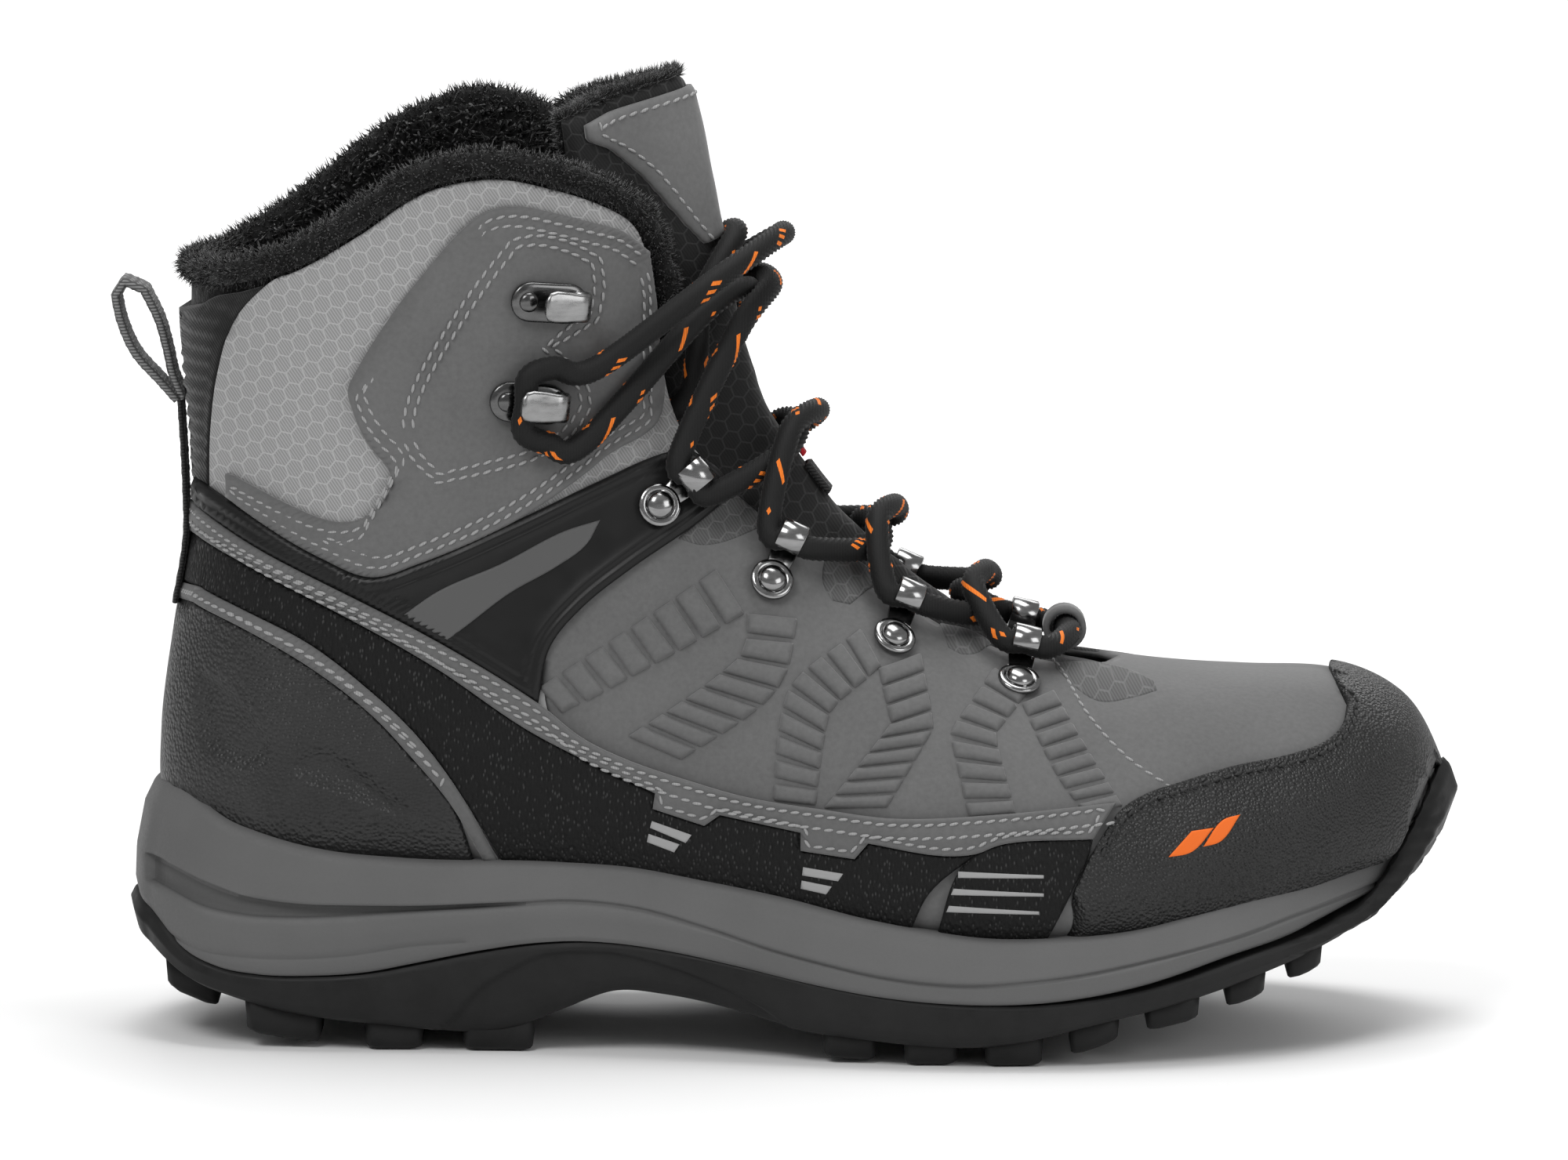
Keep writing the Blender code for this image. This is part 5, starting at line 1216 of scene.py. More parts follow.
def sole_wall(rings, levels, dent):
    """A solid whose wall runs through explicit heights: levels(x) gives them from the bottom up."""
    angle = np.linspace(0, math.pi, 421)
    stations = (1 - np.cos(angle)) / 2
    stations = 0.35 * stations + 0.65 * np.linspace(0, 1, len(angle))
    half = plan(stations)
    x_mid = 1.5 + 295 * stations
    heights = levels(x_mid)
    low, high = heights[0], heights[-1]
    points, loops = [], []
    for z in heights:
        share = np.clip((z - low) / np.maximum(high - low, 1e-6), 0, 1)
        x, width = wall_ring(stations, half, share, rings)
        run = units(np.stack([np.gradient(x), np.gradient(width)], axis=1))
        depth = dent(x, z)
        x_in, width_in = x + run[:, 1] * depth, width - run[:, 0] * depth
        width_in = np.maximum(width_in, 0)
        width_in[[0, -1]] = 0
        left = np.stack([x_in, width_in, z], axis=1)
        right = left[-2:0:-1] * [1, -1, 1]
        loops.append(np.arange(len(points), len(points) + len(left) + len(right)))
        points = np.vstack([points, left, right]) if len(points) else np.vstack([left, right])
    faces = []
    for a, b in zip(loops, loops[1:]):
        ahead, above = np.roll(a, -1), np.roll(b, -1)
        faces += list(zip(a.tolist(), ahead.tolist(), above.tolist(), b.tolist()))
    for loop in (loops[0], loops[-1]):
        around = len(loop)
        for k in range(len(stations) - 1):
            corners = [loop[k], loop[k + 1], loop[(around - k - 1) % around], loop[(around - k) % around]]
            faces.append(tuple(dict.fromkeys(int(c) for c in corners)))
    return points, faces


FOAM_RINGS = [(0.0, 295, 1.5, -0.2), (0.06, 295.4, 1.2, 0.5), (0.35, 295.5, 1.5, 1.2), (0.75, 295, 3.5, -0.6),
              (0.95, 294.2, 6.0, -1.9), (1.0, 293, 7.6, -3.3)]
RUBBER_RINGS = [(0.0, 292, 6, -2.5), (0.1, 296, 3.5, -1.0), (0.3, 300, 1, 0.0), (0.7, BOOT_LENGTH, 0, 0.5),
                (0.93, 301.6, 1.1, 0.45), (1.0, 300.0, 2.0, -0.3)]


# the line round the back of the foam's lower part
LENS_LINE = [(5.2, 28.5), (10.1, 24.5), (17.3, 22), (27.8, 21.1), (38.3, 21.1), (52.3, 22.2), (66.4, 24.5), (77.1, 25.4)]


def foam_levels(x):
    low = np.where(x > 269, curve_at(x, FOAM_LOW_TOE), curve_at(x, RUBBER_TOP)) + 0.3
    high = curve_at(x, FOAM_TOP)
    up = np.minimum(curve_at(x, BAND_UP), high - 1.2)
    down = np.minimum(np.maximum(curve_at(x, BAND_LOW), low + 1.0), up - 0.5)
    lens = curve_at(x, [*LENS_LINE, (90, 27.5)])
    lens = np.clip(lens, low + 0.8, down - 0.8)
    rows = [low + (lens - 0.35 - low) * s for s in np.linspace(0, 1, 7)]
    rows += [lens, lens + 0.35]
    rows += [lens + 0.35 + (down - 0.3 - lens - 0.35) * s for s in np.linspace(0, 1, 7)[1:]]
    rows += [down + 0.05, down + 0.3]
    rows += [down + 0.3 + (up - 0.3 - down - 0.3) * s for s in np.linspace(0, 1, 5)[1:]]
    rows += [up - 0.05, up + 0.3]
    rows += [up + 0.3 + (high - up - 0.3) * s for s in np.linspace(0, 1, 18)[1:]]
    return np.maximum.accumulate(np.array(rows), axis=0)


def foam_dent(x, z):
    up, down = curve_at(x, BAND_UP), curve_at(x, BAND_LOW)
    deep = 1.5 * np.clip((92 - x) / 12, 0, 1) + 0.75
    within = np.clip(np.minimum(z - down, up - z) / 0.3 + 0.5, 0, 1) * (x > 5)
    line = np.exp(-((z - curve_at(x, LENS_LINE)) / 0.3) ** 2) * 0.45 * (x > 5) * (x < 78)
    return deep * within + line


ARCH_LINE = [(66, 2), (74.2, 7.4), (80.5, 14.7), (87.6, 19.5), (94.5, 22.9), (102.9, 24.0), (110.5, 24.0), (119.8, 22.3),
             (131.4, 18.6), (141.5, 14.2), (148.5, 9.6), (156, 2)]


def rubber_levels(x):
    low, high = curve_at(x, TREAD), curve_at(x, RUBBER_TOP)
    return np.array([low + (high - low) * s for s in (0, 0.03, 0.07, *np.linspace(0.12, 0.9, 22), 0.94, 0.97, 0.99, 1)])


def rubber_dent(x, z):
    within = (x > 70) & (x < 154)
    arch = np.where(within, np.clip((curve_at(x, ARCH_LINE) - z) / 0.8, 0, 1) * 1.1, 0.0)
    rows = 0.35 * np.clip(np.sin(z * 2 * math.pi / 3.2) * 2.2 - 1.0, 0, 1) * (x > 262) * (x < 299)
    return arch + rows


def lug_block(x_from, x_to, y_in, y_out):
    """A bevelled tread block: rings of 8 corner points from its root to its face."""
    rings, points, cut = [(2.5, -0.2), (0.4, 0.3), (0.12, 0.9), (0.0, 1.6)], [], 1.4
    for lift, narrow in rings:
        a, b, c, d = x_from + narrow, x_to - narrow, y_in + narrow, y_out - narrow
        corners = [(a + cut, c), (b - cut, c), (b, c + cut), (b, d - cut), (b - cut, d), (a + cut, d), (a, d - cut), (a, c + cut)]
        for x, y in corners:
            tip, root = float(np.interp(x, *zip(*LUG_TIP))), float(curve_at(x, TREAD))
            points.append((x, y, root + 2.0 if lift == 2.5 else tip + lift * 2.5))
    return np.array(points), tube_faces(len(rings), 8) + end_caps(len(rings), 8)


def sole():
    points, faces = sole_wall(FOAM_RINGS, foam_levels, foam_dent)
    up, down = curve_at(points[:, 0], BAND_UP), curve_at(points[:, 0], BAND_LOW)
    x, z = points[:, 0], points[:, 2]
    # painted shade: faces inside the sunk band at the heel get the darker copy of the foam
    dark = (z > down - 0.1) & (z < up + 0.1) & (x < 92) & (x > 5)
    mats = [1 if all(dark[k] for k in face) and len(face) == 4 else 0 for face in faces]
    piece("midsole", place(points), faces, ["foam", "foam_shaded"], replaces=["midsole"], slot="midsole_foam",
          face_mats=mats, merge=WELD)
    parts = [sole_wall(RUBBER_RINGS, rubber_levels, rubber_dent)]
    for x_from, x_to in EDGE_LUGS:
        half = float(curve_at((x_from + x_to) / 2, SOLE_HALF))
        block, block_faces = lug_block(x_from, x_to, half - 23, half - 3.2)
        parts += [(block, block_faces), (block * [1, -1, 1], block_faces)]
    for x_from, x_to in CENTRE_LUGS:
        parts.append(lug_block(x_from, x_to, -9, 9))
    parts += [lug_block(9, 21, -17, 17), lug_block(275, 285, -16, 16)]
    points, faces = merged(parts)
    piece("outsole", place(points), faces, "rubber", replaces=["outsole"], slot="sole_rubber", merge=WELD)


# ---- hardware ----
def swept(route, widths, thickness, bevel=0.3):
    """A bent strip in its own plane: route (x, z), half widths along it, with rounded edges."""
    p = np.asarray(route, float)
    up, half = left_of(p), thickness / 2
    section = [(-1, 0, -half * 0.3), (-1, 0, half * 0.3), (-1, bevel, half), (1, -bevel, half), (1, 0, half * 0.3),
               (1, 0, -half * 0.3), (1, -bevel, -half), (-1, bevel, -half)]
    points = [(x + n[0] * rise, side * w + inset_y, z + n[1] * rise)
              for (x, z), n, w in zip(p, up, widths) for side, inset_y, rise in section]
    return np.array(points), tube_faces(len(p), 8) + end_caps(len(p), 8)


def turned(profile, parts=28):
    """A round part turned from (radius, height) points."""
    angle = np.linspace(0, 2 * math.pi, parts, endpoint=False)
    points = np.array([(r * math.cos(a), r * math.sin(a), h) for r, h in profile for a in angle])
    return points, end_caps(len(profile), parts) + tube_faces(len(profile), parts)


def put(frame, points):
    """Points in mm in a frame, to scene points (m)."""
    m = np.array(frame)
    return (points / 1000) @ m[:3, :3].T + m[:3, 3]


def ring_parts():
    """A lace ring: a curled strap, a washer and a rivet's dome."""
    curl = arc((RING_REACH, RING_RISE), RING_CURL, -115, 165, 26)
    route = [(-3.0, 0.9), (0, 0.9), (3, 0.9), (5.4, 0.9), *curl]
    widths = [1.9, 2.3, 2.6, 2.9] + [3.1] * len(curl)
    strap = swept(route, widths, 1.1)
    washer = turned([(4.6, 0.1), (4.9, 0.5), (4.9, 1.1), (4.6, 1.45), (3.9, 1.6), (3.4, 1.45), (3.2, 1.3)])
    dome = turned([(3.2, 1.2), (3.15, 1.75), (2.75, 2.35), (1.9, 2.85), (0.9, 3.05), (0.15, 3.1)])
    return [strap, washer, dome]


def hook_parts():
    """A speed hook's plate with its rivet, and its tongue."""
    bend = arc((4.6, HOOK_RISE), HOOK_BEND, -90, 90, 14)
    low, high = HOOK_RISE - HOOK_BEND, HOOK_RISE + HOOK_BEND
    route = [(0, low), (2.5, low), *bend, (2, high), (-1, high + 0.1), (-2.6, high + 0.4), (-3.4, high + 0.9)]
    widths = [3.0, 3.1] + [3.2] * len(bend) + [3.5, 3.6, 3.1, 1.9]
    tongue = swept(route, widths, 1.15, 0.75)
    outline = [*arc((-4.6, 0), 4.5, 90, 270, 12), *arc((4.4, 0), 4.5, -90, 90, 12)]
    layers = [(0.0, 0.15), (0.0, 0.8), (0.35, 1.15), (1.2, 1.3)]
    points, count = [], len(outline)
    for narrow, height in layers:
        points += [(x - math.copysign(narrow, x) * min(abs(x) / 5, 1), y * (1 - narrow / 4.6), height) for x, y in outline]
    plate = np.array(points), tube_faces(len(layers), count) + end_caps(len(layers), count)
    head, head_faces = turned([(2.3, 1.1), (2.2, 1.8), (1.6, 2.2), (0.6, 2.4), (0.1, 2.42)], 20)
    return merged([plate, (head + [-5.2, 0, 0], head_faces)]), tongue


def hardware():
    ring = merged(ring_parts())
    plate, tongue = hook_parts()
    for side, sign in SIDES.items():
        for index in range(len(RINGS)):
            frame = ring_frame(index, sign)
            name = f"lace_ring_{side}_{index + 1}"
            piece(name, put(frame, ring[0]), ring[1], "metal", replaces=[name], slot="gunmetal")
        for index, level in enumerate(("lower", "upper")):
            frame = hook_frame(index, sign)
            name = f"lace_hook_{side}_{level}"
            piece(name, put(frame, plate[0]), plate[1], "dark_metal", replaces=[name], slot="gunmetal")
            piece(name + "_tongue", put(frame, tongue[0]), tongue[1], "satin")


# ---- lace ----
AROUND, BRAID_STEP = 14, 0.00095


def frames_along(line):
    """Tangents and a side direction that doesn't twist, along a line of points."""
    ahead = units(np.gradient(line, axis=0))
    side = np.zeros_like(ahead)
    side[0] = unit(np.cross(ahead[0], [0, 0, 1]))
    for k in range(1, len(line)):
        side[k] = unit(side[k - 1] - ahead[k] * (side[k - 1] @ ahead[k]))
    return ahead, side, np.cross(ahead, side)


def even(points, step):
    """Points one step apart along a line."""
    p = np.array([tuple(q) for q in points])
    run = lengths(p)
    return points_at(np.linspace(0, run[-1], max(2, int(run[-1] / step))), run, p)


def braid(line, radius, around=AROUND):
    """A round braid: a tube of diamonds, each one's middle raised. Returns points, faces and face materials."""
    _, side, up = frames_along(line)
    rows, low, high = len(line), radius * 0.93, radius * 1.08
    points, faces, mats = [], [], []
    for k in range(rows):
        turn = (np.arange(around) + 0.5 * (k % 2)) * 2 * math.pi / around
        points.append(line[k] + low * (np.cos(turn)[:, None] * side[k] + np.sin(turn)[:, None] * up[k]))
    points = np.vstack(points)
    centres = []
    for k in range(1, rows - 1):
        shift = k % 2
        for i in range(around):
            left, right = k * around + i, k * around + (i + 1) % around
            below, above = ((k + step) * around + (i + shift) % around for step in (-1, 1))
            turn = (i + 0.5 + 0.5 * shift) * 2 * math.pi / around
            index = len(points) + len(centres)
            centres.append(line[k] + high * (math.cos(turn) * side[k] + math.sin(turn) * up[k]))
            faces += [(left, below, index), (below, right, index), (right, above, index), (above, left, index)]
            mats += [int(tracer_at(k, i))] * 4
    for k, next_row in ((0, 1), (rows - 1, rows - 2)):
        for i in range(around):
            faces.append((k * around + i, k * around + (i + 1) % around, next_row * around + (i + k % 2) % around))
        faces.append(tuple(k * around + i for i in range(around)))
        mats += [0] * (around + 1)
    return np.vstack([points, centres]), faces, mats


def tracer_at(row, k):
    """Short diagonal dashes of the orange yarn, in groups of three to five."""
    group = (row // 13) % 7
    return group in (0, 1, 2, 4) and (row + 2 * k) % 13 in (0, 1) and (k + row // 26) % 7 < 3


def lace_line():
    toe = [Vector(place((TOE_LOOP[0] + dx, y, TOE_LOOP[1] + dz)))
           for dx, y, dz in ((0.8, -8, -0.3), (0, 0, 0), (0.8, 8, -0.3))]
    return lace_half(-1, True)[::-1] + toe + lace_half(1, False)


def laces():
    line = even(resample(lace_line(), 0.0008), BRAID_STEP)
    wobble = np.array([noise.noise_vector(Vector(p * 60)) for p in line]) * 0.0002
    points, faces, mats = braid(line + wobble, LACE_D / 2000 * 1.04)
    piece("lace", points, faces, ["lace", "tracer"], replaces=["lace"], slot="lace_cord", face_mats=mats)


def toe_loop():
    """The leather loop that holds the lace at the throat's toe end."""
    section = [(-3.9, -0.7), (-4.1, 0), (-3.9, 0.7), (3.9, 0.7), (4.1, 0), (3.9, -0.7)]
    ring = arc((0, 0), TOE_LOOP_R, 0, 360, 28)[:-1]
    loop = [(TOE_LOOP[0] + x + x / TOE_LOOP_R * r, y, TOE_LOOP[1] + z + z / TOE_LOOP_R * r)
            for x, z in ring for y, r in section]
    piece("toe_lace_loop", place(loop), tube_faces(len(ring), len(section), closed=True), "nubuck",
          replaces=["toe_lace_loop"], slot="nubuck_grey")


# ---- tongue ----
TONGUE_END = 17.3


def tongue_point(t, v, out):
    """Points at a height over the tongue's face."""
    return last.at(t, v, tongue_lift(t, v) + out)


def tongue_pad():
    """The tongue with its stuffing: one soft piece above the lace."""
    rows = np.concatenate([np.arange(5.2, 10, 0.09), np.arange(10, TONGUE_END + 0.01, 0.075)])
    half = np.concatenate([np.arange(0.78, 0.995, 0.0125), [1.0]])
    columns = np.concatenate([half[:-1], -half[::-1]])
    t, v = np.meshgrid(rows, columns, indexing="ij")
    lift = tongue_lift(t, v)
    edge_v = np.clip((np.abs(v) - 0.78) / 0.03, 0, 1)
    edge_t = np.clip((TONGUE_END - t) / 0.35, 0, 1)
    rim_round = np.sqrt(np.clip(1 - (1 - np.minimum(edge_v, edge_t)) ** 2, 0, 1))
    quilt = 0.8 * np.abs(np.sin((t - 5.2) * 2.1)) ** 0.5 * np.clip((np.abs(v) - 0.8) / 0.1, 0, 1)
    p = last.at(t, v, 0).reshape(-1, 3)
    lumps = np.array([noise.noise(Vector(q / 14)) + 0.4 * noise.noise(Vector(q / 5)) for q in p]).reshape(t.shape)
    outer = last.at(t, v, lift - 4.2 * (1 - rim_round) * 0.5 + lumps * 0.7 - quilt * 0.25)
    inner = last.at(t, v, lift - 4.4 + 2.0 * (1 - rim_round))
    tongue_piece("tongue_pad", *closed_grid(outer, inner), "tongue", ["tongue", "tongue_top"],
                           "softshell_black")


def tongue_sheet(name, t_from, t_to, v_edge, out, thick, mat, replaces=(), slot=None):
    """A sheet lying on the tongue's face, below the lacing's end."""
    rows, u = np.linspace(t_from, t_to, 26)[:, None], np.linspace(-1, 1, 25)[None]
    share = (rows - t_from) / (t_to - t_from)
    v = (1 - np.abs(u) * (1 - v_edge)) * np.where(u < 0, -1, 1)
    t, v = np.broadcast_arrays(rows, v)
    near = np.minimum(1 - np.abs(u), np.minimum(share, 1 - share) * 4)
    drop = 0.5 * (1 - np.clip(near / 0.12, 0, 1)) ** 2
    return piece(name, *closed_grid(tongue_point(t, v, out - drop), tongue_point(t, v, out - thick)), mat,
                 replaces=replaces, slot=slot)


PATCH_EDGE = [(96, 207), (101.5, 204.6), (103.4, 204.2), (109.8, 201.4), (117.3, 194.9), (126.9, 183.9), (133.9, 176.4),
              (145, 174.4)]


def patch_side(t):
    """The v where the patch's side edge crosses a row of the tongue."""
    v = np.linspace(1, 0.80, 200)
    p = tongue_point(np.full(200, t), v, 0)
    below = np.nonzero(p[:, 2] < np.interp(p[:, 0], *zip(*PATCH_EDGE)))[0]
    return float(v[below[0]]) if len(below) else 0.80


def tongue_patch():
    """The nubuck facing on the tongue's free end, wrapped round to its sides and stitched down."""
    rows = np.linspace(13.75, 17.05, 44)
    sides = np.clip([patch_side(t) for t in rows], 0.815, 0.985)
    u = np.linspace(-1, 1, 41)
    t = np.repeat(rows[:, None], len(u), axis=1)
    v = (1 - np.abs(u)[None] * (1 - sides[:, None])) * np.where(u < 0, -1, 1)
    near = np.minimum((1 - np.abs(u))[None] * 8, np.minimum(rows - rows[0], rows[-1] - rows)[:, None] * 6)
    drop = 0.55 * (1 - np.clip(near, 0, 1)) ** 2
    wave = np.array([noise.noise(Vector(q / 12)) for q in last.at(t, v, 0).reshape(-1, 3)]).reshape(t.shape)
    face, back = tongue_point(t, v, 1.6 + 0.35 * wave - drop), tongue_point(t, v, -0.2)
    tongue_piece("tongue_patch", *closed_grid(face, back), "patch", ["tongue_patch"], "nubuck_grey")
    inner = 1 - (1 - sides) * 0.86
    stitch_row(np.stack([rows, inner], axis=1), 0, "tongue_thread", on_tongue=1.75)
    stitch_row(np.stack([np.full(21, 16.88), np.linspace(inner[-1], 1, 21)], axis=1), 0, "tongue_thread", on_tongue=1.75)


TONGUE_TUFTS, EDGE_TUFTS = 7000, 3000


def tongue_pile(rng):
    """Fleece on the back of the tongue's free end and along its upper edge."""
    t = np.clip(TONGUE_END + 0.05 - rng.exponential(0.45, TONGUE_TUFTS), 15.6, TONGUE_END + 0.03)
    v = rng.uniform(0.785, 1.0, TONGUE_TUFTS) * rng.choice([-1, 1], TONGUE_TUFTS)
    inner, outer = place(tongue_point(t, v, -4.4)), place(tongue_point(t, v, -3.4))
    tufts("tongue_pile", inner, units(inner - outer), 0.0042, 0.00034, rng, "tongue_flap")
    t = np.full(EDGE_TUFTS, TONGUE_END)
    v = rng.uniform(0.785, 1.0, EDGE_TUFTS) * rng.choice([-1, 1], EDGE_TUFTS)
    root = place(tongue_point(t, v, 0) * 0.5 + tongue_point(t, v, -4.0) * 0.5)
    tufts("tongue_edge_pile", root, unit([0.15, 0, 1.0]), 0.0036, 0.0003, rng, "tongue_flap")


# ---- lining and rim ----
def rim_height(v):
    """t of the collar's edge at a signed v of the lining."""
    found = []
    for rim in (RIM, [raised(p) for p in RIM]):
        edge = on_last(dense([(8, 168.5), *rim[1:], *COLLAR_FRONT], 1.0))
        order = np.argsort(edge[:, 1])
        found.append(np.interp(np.abs(v), edge[order, 1], edge[order, 0]))
    return np.where(v < 0, *found)


LINING_V = 0.72     # how far the lining reaches towards the throat
LINING_T = 4.6      # its lower edge


def lining():
    """The shaft's lining. Returns its inner points (m) and their t and v."""
    columns = np.linspace(-1, 1, 161) * LINING_V
    top = np.minimum(rim_height(columns) + 0.16, LAST_END)
    t = LINING_T + (top[None, :] - LINING_T) * np.linspace(0, 1, 150)[:, None]
    v = np.broadcast_to(columns, t.shape)
    p = last.at(t, v, 0).reshape(-1, 3)
    lumps = np.array([noise.noise(Vector(q / 3.2)) + noise.noise(Vector(q / 9)) for q in p]).reshape(t.shape)
    inner = last.at(t, v, -7.0 + lumps * 0.55)
    piece("shaft_fleece", *closed_grid(last.at(t, v, -3.1), inner), "fleece",
                    replaces=["shaft_lining_lateral", "shaft_lining_medial"], slot="fleece_black")
    return place(inner.reshape(-1, 3)), t.reshape(-1), v.reshape(-1)


def rim_line():
    """The middle of the fleece roll, from the outer front edge round the back to the inner one (m)."""
    sides = []
    for rim in (RIM, [raised(p) for p in RIM]):
        edge = np.array(smooth(rim) + smooth(COLLAR_FRONT[:4])[1:])
        sides.append([last.at(*last.find(x, z), -3.4) for x, z in edge + left_of(edge) * 3.6 if x > 14])
    back = last.at(last.find(14.0, RIM[0][1] + 3.4)[0] + 0.1, 0.0, -3.4)
    back[2] = sides[0][0][2]
    line = [place(p * [1, -1, 1]) for p in sides[0]][::-1] + [place(back)] + [place(p) for p in sides[1]]
    return even(resample(line, 0.003), 0.0012)


RIM_TUFTS, SHAFT_TUFTS = 12000, 14000


def tufts(name, roots, normals, length, width, rng, body="boot"):
    """Closed slivers of pile standing on a surface."""
    count = len(roots)
    ahead = units(normals + rng.normal(0, 0.42, (count, 3)))
    side = units(np.cross(ahead, rng.normal(0, 1, (count, 3))))
    other = np.cross(ahead, side)
    size = length * rng.uniform(0.55, 1.15, count)[:, None]
    base = roots - ahead * 0.0003
    corners = [base + width * (math.cos(a) * side + math.sin(a) * other) for a in (0, 2.094, 4.189)]
    tip = base + ahead * size + side * size * rng.uniform(-0.35, 0.35, count)[:, None]
    points = np.stack([*corners, tip], axis=1).reshape(-1, 3)
    starts = np.arange(count)[:, None, None] * 4
    faces = (starts + np.array([(0, 2, 1), (0, 1, 3), (1, 2, 3), (2, 0, 3)])[None]).reshape(-1, 3)
    return piece(name, points, [tuple(f) for f in faces.tolist()], "fleece", body)


def collar_roll(line, side, up):
    """The rolled edge of the collar, slightly uneven and closed at its ends."""
    around = 16
    turn = np.linspace(0, 2 * math.pi, around, endpoint=False)
    swell = np.array([1 + 0.10 * noise.noise(Vector(p * 160)) for p in line])
    taper = np.clip(np.minimum(np.arange(len(line)), np.arange(len(line))[::-1]) / 3, 0.25, 1)
    ring = np.cos(turn)[None, :, None] * side[:, None] + np.sin(turn)[None, :, None] * up[:, None]
    points = (line[:, None] + ring * (0.0029 * swell * taper)[:, None, None]).reshape(-1, 3)
    faces = end_caps(len(line), around) + tube_faces(len(line), around)
    piece("collar_roll", points, faces, "fleece", replaces=["collar_rim"], slot="fleece_black")


def fleece():
    """The lining, the collar's roll and the pile on both."""
    rng = np.random.default_rng(7)
    roots, t, v = lining()
    line = rim_line()
    ahead, side, up = frames_along(line)
    collar_roll(line, side, up)
    pick = rng.integers(2, len(line) - 2, RIM_TUFTS)
    angle = rng.uniform(0, 2 * math.pi, RIM_TUFTS)
    normal = np.cos(angle)[:, None] * side[pick] + np.sin(angle)[:, None] * up[pick]
    base = line[pick] + ahead[pick] * rng.uniform(-0.0006, 0.0006, RIM_TUFTS)[:, None]
    tufts("rim_pile", base + normal * 0.0028, normal, 0.0027, 0.00026, rng)
    near_top = np.nonzero(t > rim_height(v) - 3.2)[0]
    pick = rng.choice(near_top, SHAFT_TUFTS)
    inward = units(place(last.at(t[pick], v[pick], -8.0)) - place(last.at(t[pick], v[pick], -6.0)))
    tufts("shaft_pile", roots[pick] + rng.normal(0, 0.0005, (len(pick), 3)), inward, 0.0048, 0.00036, rng)


# ---- heel strap and pull loop ----
def ribbon(name, route, half_width, thickness, mat, body, slot):
    """A woven strip along a side-view route on the heel's middle line; it stands for the node of its name."""
    line = dense(route, 0.6)
    out = left_of(line)
    points = []
    for side in (1, -1):
        for k, (p, n) in enumerate(zip(line, out)):
            for w in np.linspace(-1, 1, 15):
                weave = 0.13 * math.sin(k * 0.6 * 2 * math.pi / 1.5) * (1 if int((w + 1) * 7) % 2 else -1)
                edge = thickness / 2 * math.sqrt(max(1 - (abs(w) ** 8), 0.15))
                q = p + n * (edge + weave * (abs(w) < 0.95)) * side
                points.append((q[0], w * half_width, q[1]))
    faces = closed_grid(*np.array(points).reshape(2, len(line), 15, 3))
    return piece(name, *faces, mat, body, [name], slot)


def straps():
    route = [(11.9, 143.3), *PULL_ROUTE, (13.2, 143.6)]
    ribbon("pull_loop", route, PULL_WIDTH / 2, PULL_THICK, "webbing_grey", "pull_tab", "webbing_black")
    t = np.linspace(last.find(14, 98)[0], last.find(14, 145.5)[0], 60)
    lift = np.interp(np.arange(60), [0, 30, 45, 59], [1.4, 1.4, 0.7, 0.5])
    strap = last.at(t, 0.0, lift)[:, [0, 2]]
    ribbon("heel_strap", strap, STRAP_HALF, STRAP_THICK, "webbing", "boot", "webbing_black")


# ---- stage ----
def light(name, at, size, power):
    """A soft area light that faces the boot."""
    data = bpy.data.lights.new(name, "AREA")
    data.shape = "RECTANGLE"
    data.size, data.size_y = size
    data.energy = power
    lamp = bpy.data.objects.new(name, data)
    lamp.location = at
    lamp.rotation_euler = (Vector((0, 0, 0.1)) - Vector(at)).to_track_quat("-Z", "Y").to_euler()
    bpy.context.scene.collection.objects.link(lamp)


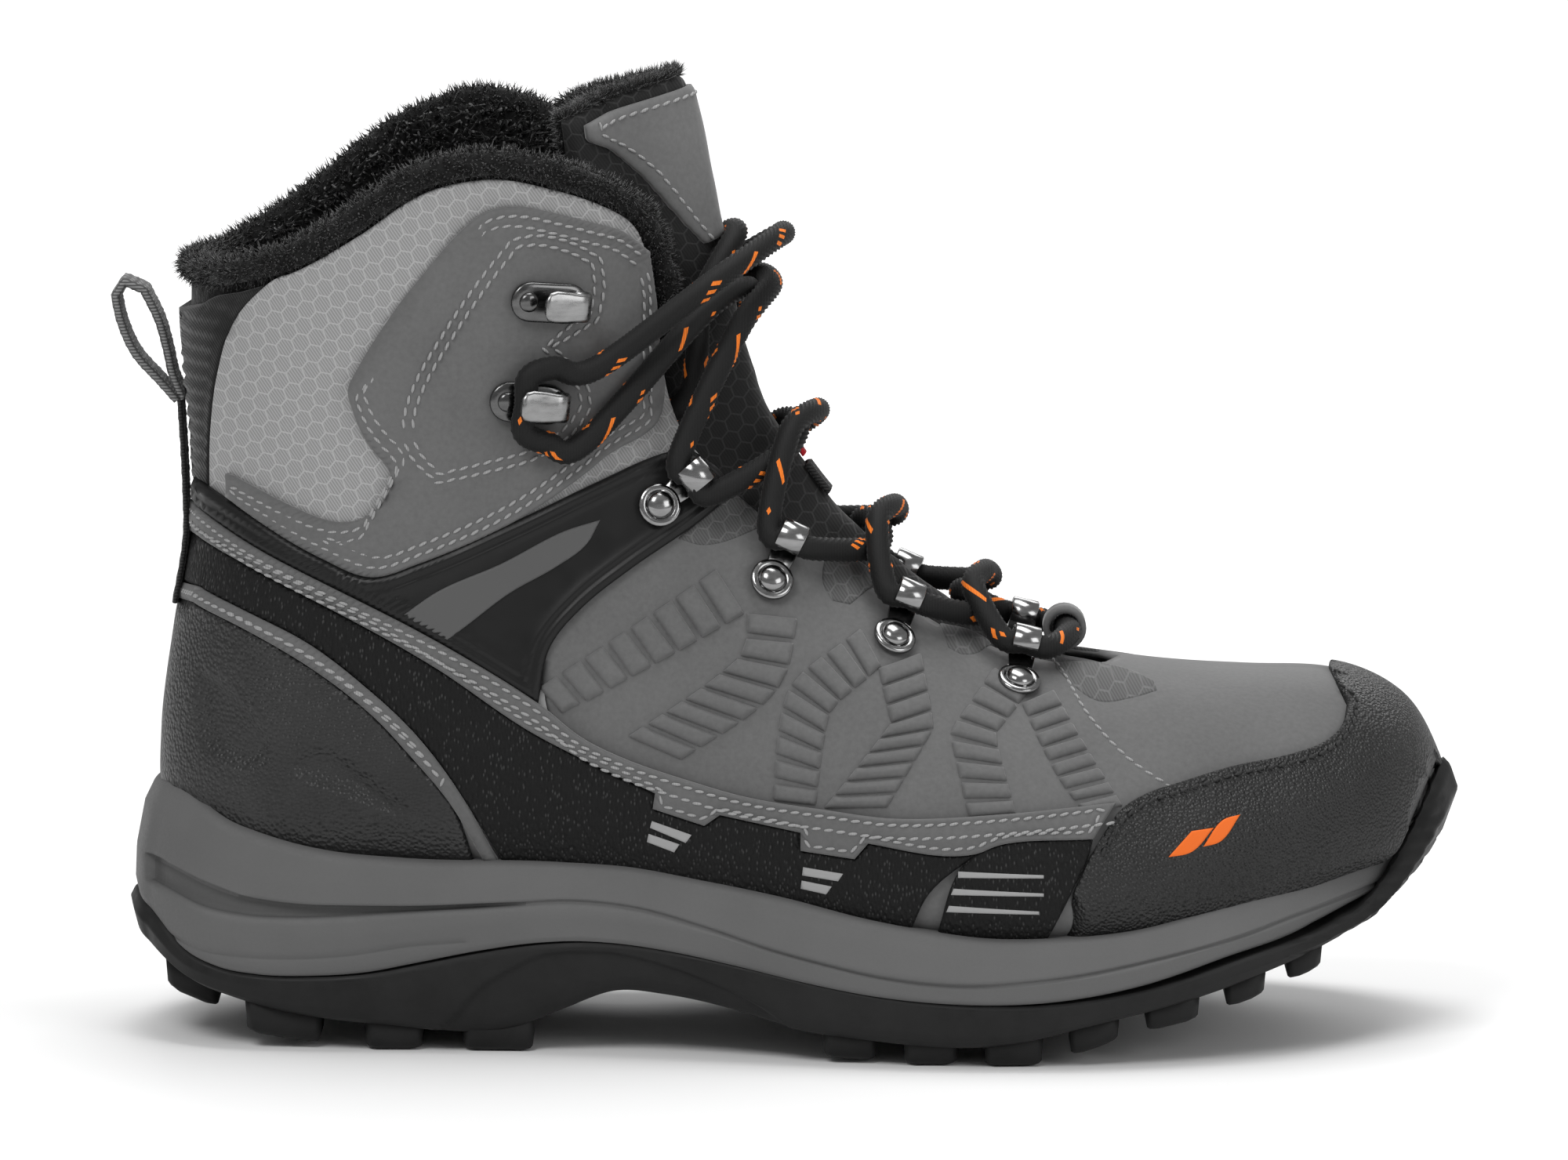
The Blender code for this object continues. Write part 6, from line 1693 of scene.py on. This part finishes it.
def stage():
    """A pale floor that glows more with distance from the boot (painted light that fades it to white and lights the
    boot from below), four soft lights and a white room.
    """
    floor = Shader("floor_white_glowing", (0.86, 0.86, 0.86), 0.7)
    floor.rough(floor.noise(3, 2), 0.62, 0.8)
    away = floor.node("VectorMath", {0: floor.coords}, operation="LENGTH").outputs["Value"]
    # painted light: the floor glows white, not at all within 0.5 m of the boot and up to 0.75 at 2.2 m, and this glow
    # also lights the boot
    floor.out.inputs["Emission Color"].default_value = (1, 1, 1, 1)
    floor.links.new(floor.share(away, 0.5, 2.2, 0.0, 0.75), floor.out.inputs["Emission Strength"])
    bpy.ops.mesh.primitive_plane_add(size=12, location=(0, 0, -0.0002))
    plane = bpy.context.object
    plane.name = "floor"
    plane.data.materials.append(floor.mat)
    light("key", (-0.7, -1.2, 1.6), (0.9, 0.7), 17)
    light("fill", (1.3, -1.1, 0.7), (0.8, 0.7), 6)
    light("top", (0.1, 0.15, 1.6), (1.2, 0.7), 16)
    light("rear", (0.2, 1.4, 0.9), (1.4, 0.6), 8)
    world = bpy.data.worlds.new("studio")
    world.use_nodes = True
    background = world.node_tree.nodes["Background"].inputs
    background["Color"].default_value = (1, 1, 1, 1)
    background["Strength"].default_value = 0.38
    bpy.context.scene.world = world
    bpy.context.scene.view_settings.view_transform = "Standard"


HIDDEN = {
    "strobel_board": "board", "footbed": "board", "heel_base_lateral": "board", "heel_base_medial": "board",
    "shank": "satin", "foot_lining_lateral": "fleece", "foot_lining_medial": "fleece",
    "aglet_lateral": "dark_metal", "aglet_medial": "dark_metal",
}


def hidden_nodes():
    """Better finishes for the CAD pieces that stay shown inside."""
    for name, mat in HIDDEN.items():
        obj = bpy.data.objects[name]
        obj.data.materials.clear()
        obj.data.materials.append(MAT[mat])


textile_panels()
vamp_panel()
overlay_panels()
toe_panels()
sole()
hardware()
laces()
toe_loop()
tongue_pad()
tongue_patch()
tongue_sheet("keeper_tag", 9.55, 9.8, 0.985, 1.7, 1.0, "red")
tongue_sheet("lace_keeper", 9.0, 9.45, 0.975, 1.6, 1.2, "webbing", ["lace_keeper"], "webbing_black")
fleece()
straps()
tongue_pile(np.random.default_rng(11))
tongue_piece("stitches_tongue", *merged(stitches.pop("tongue_thread")), "thread_grey")
for colour, parts in stitches.items():
    piece(f"stitches_{colour}", *merged(parts), colour)
hidden_nodes()
stage()
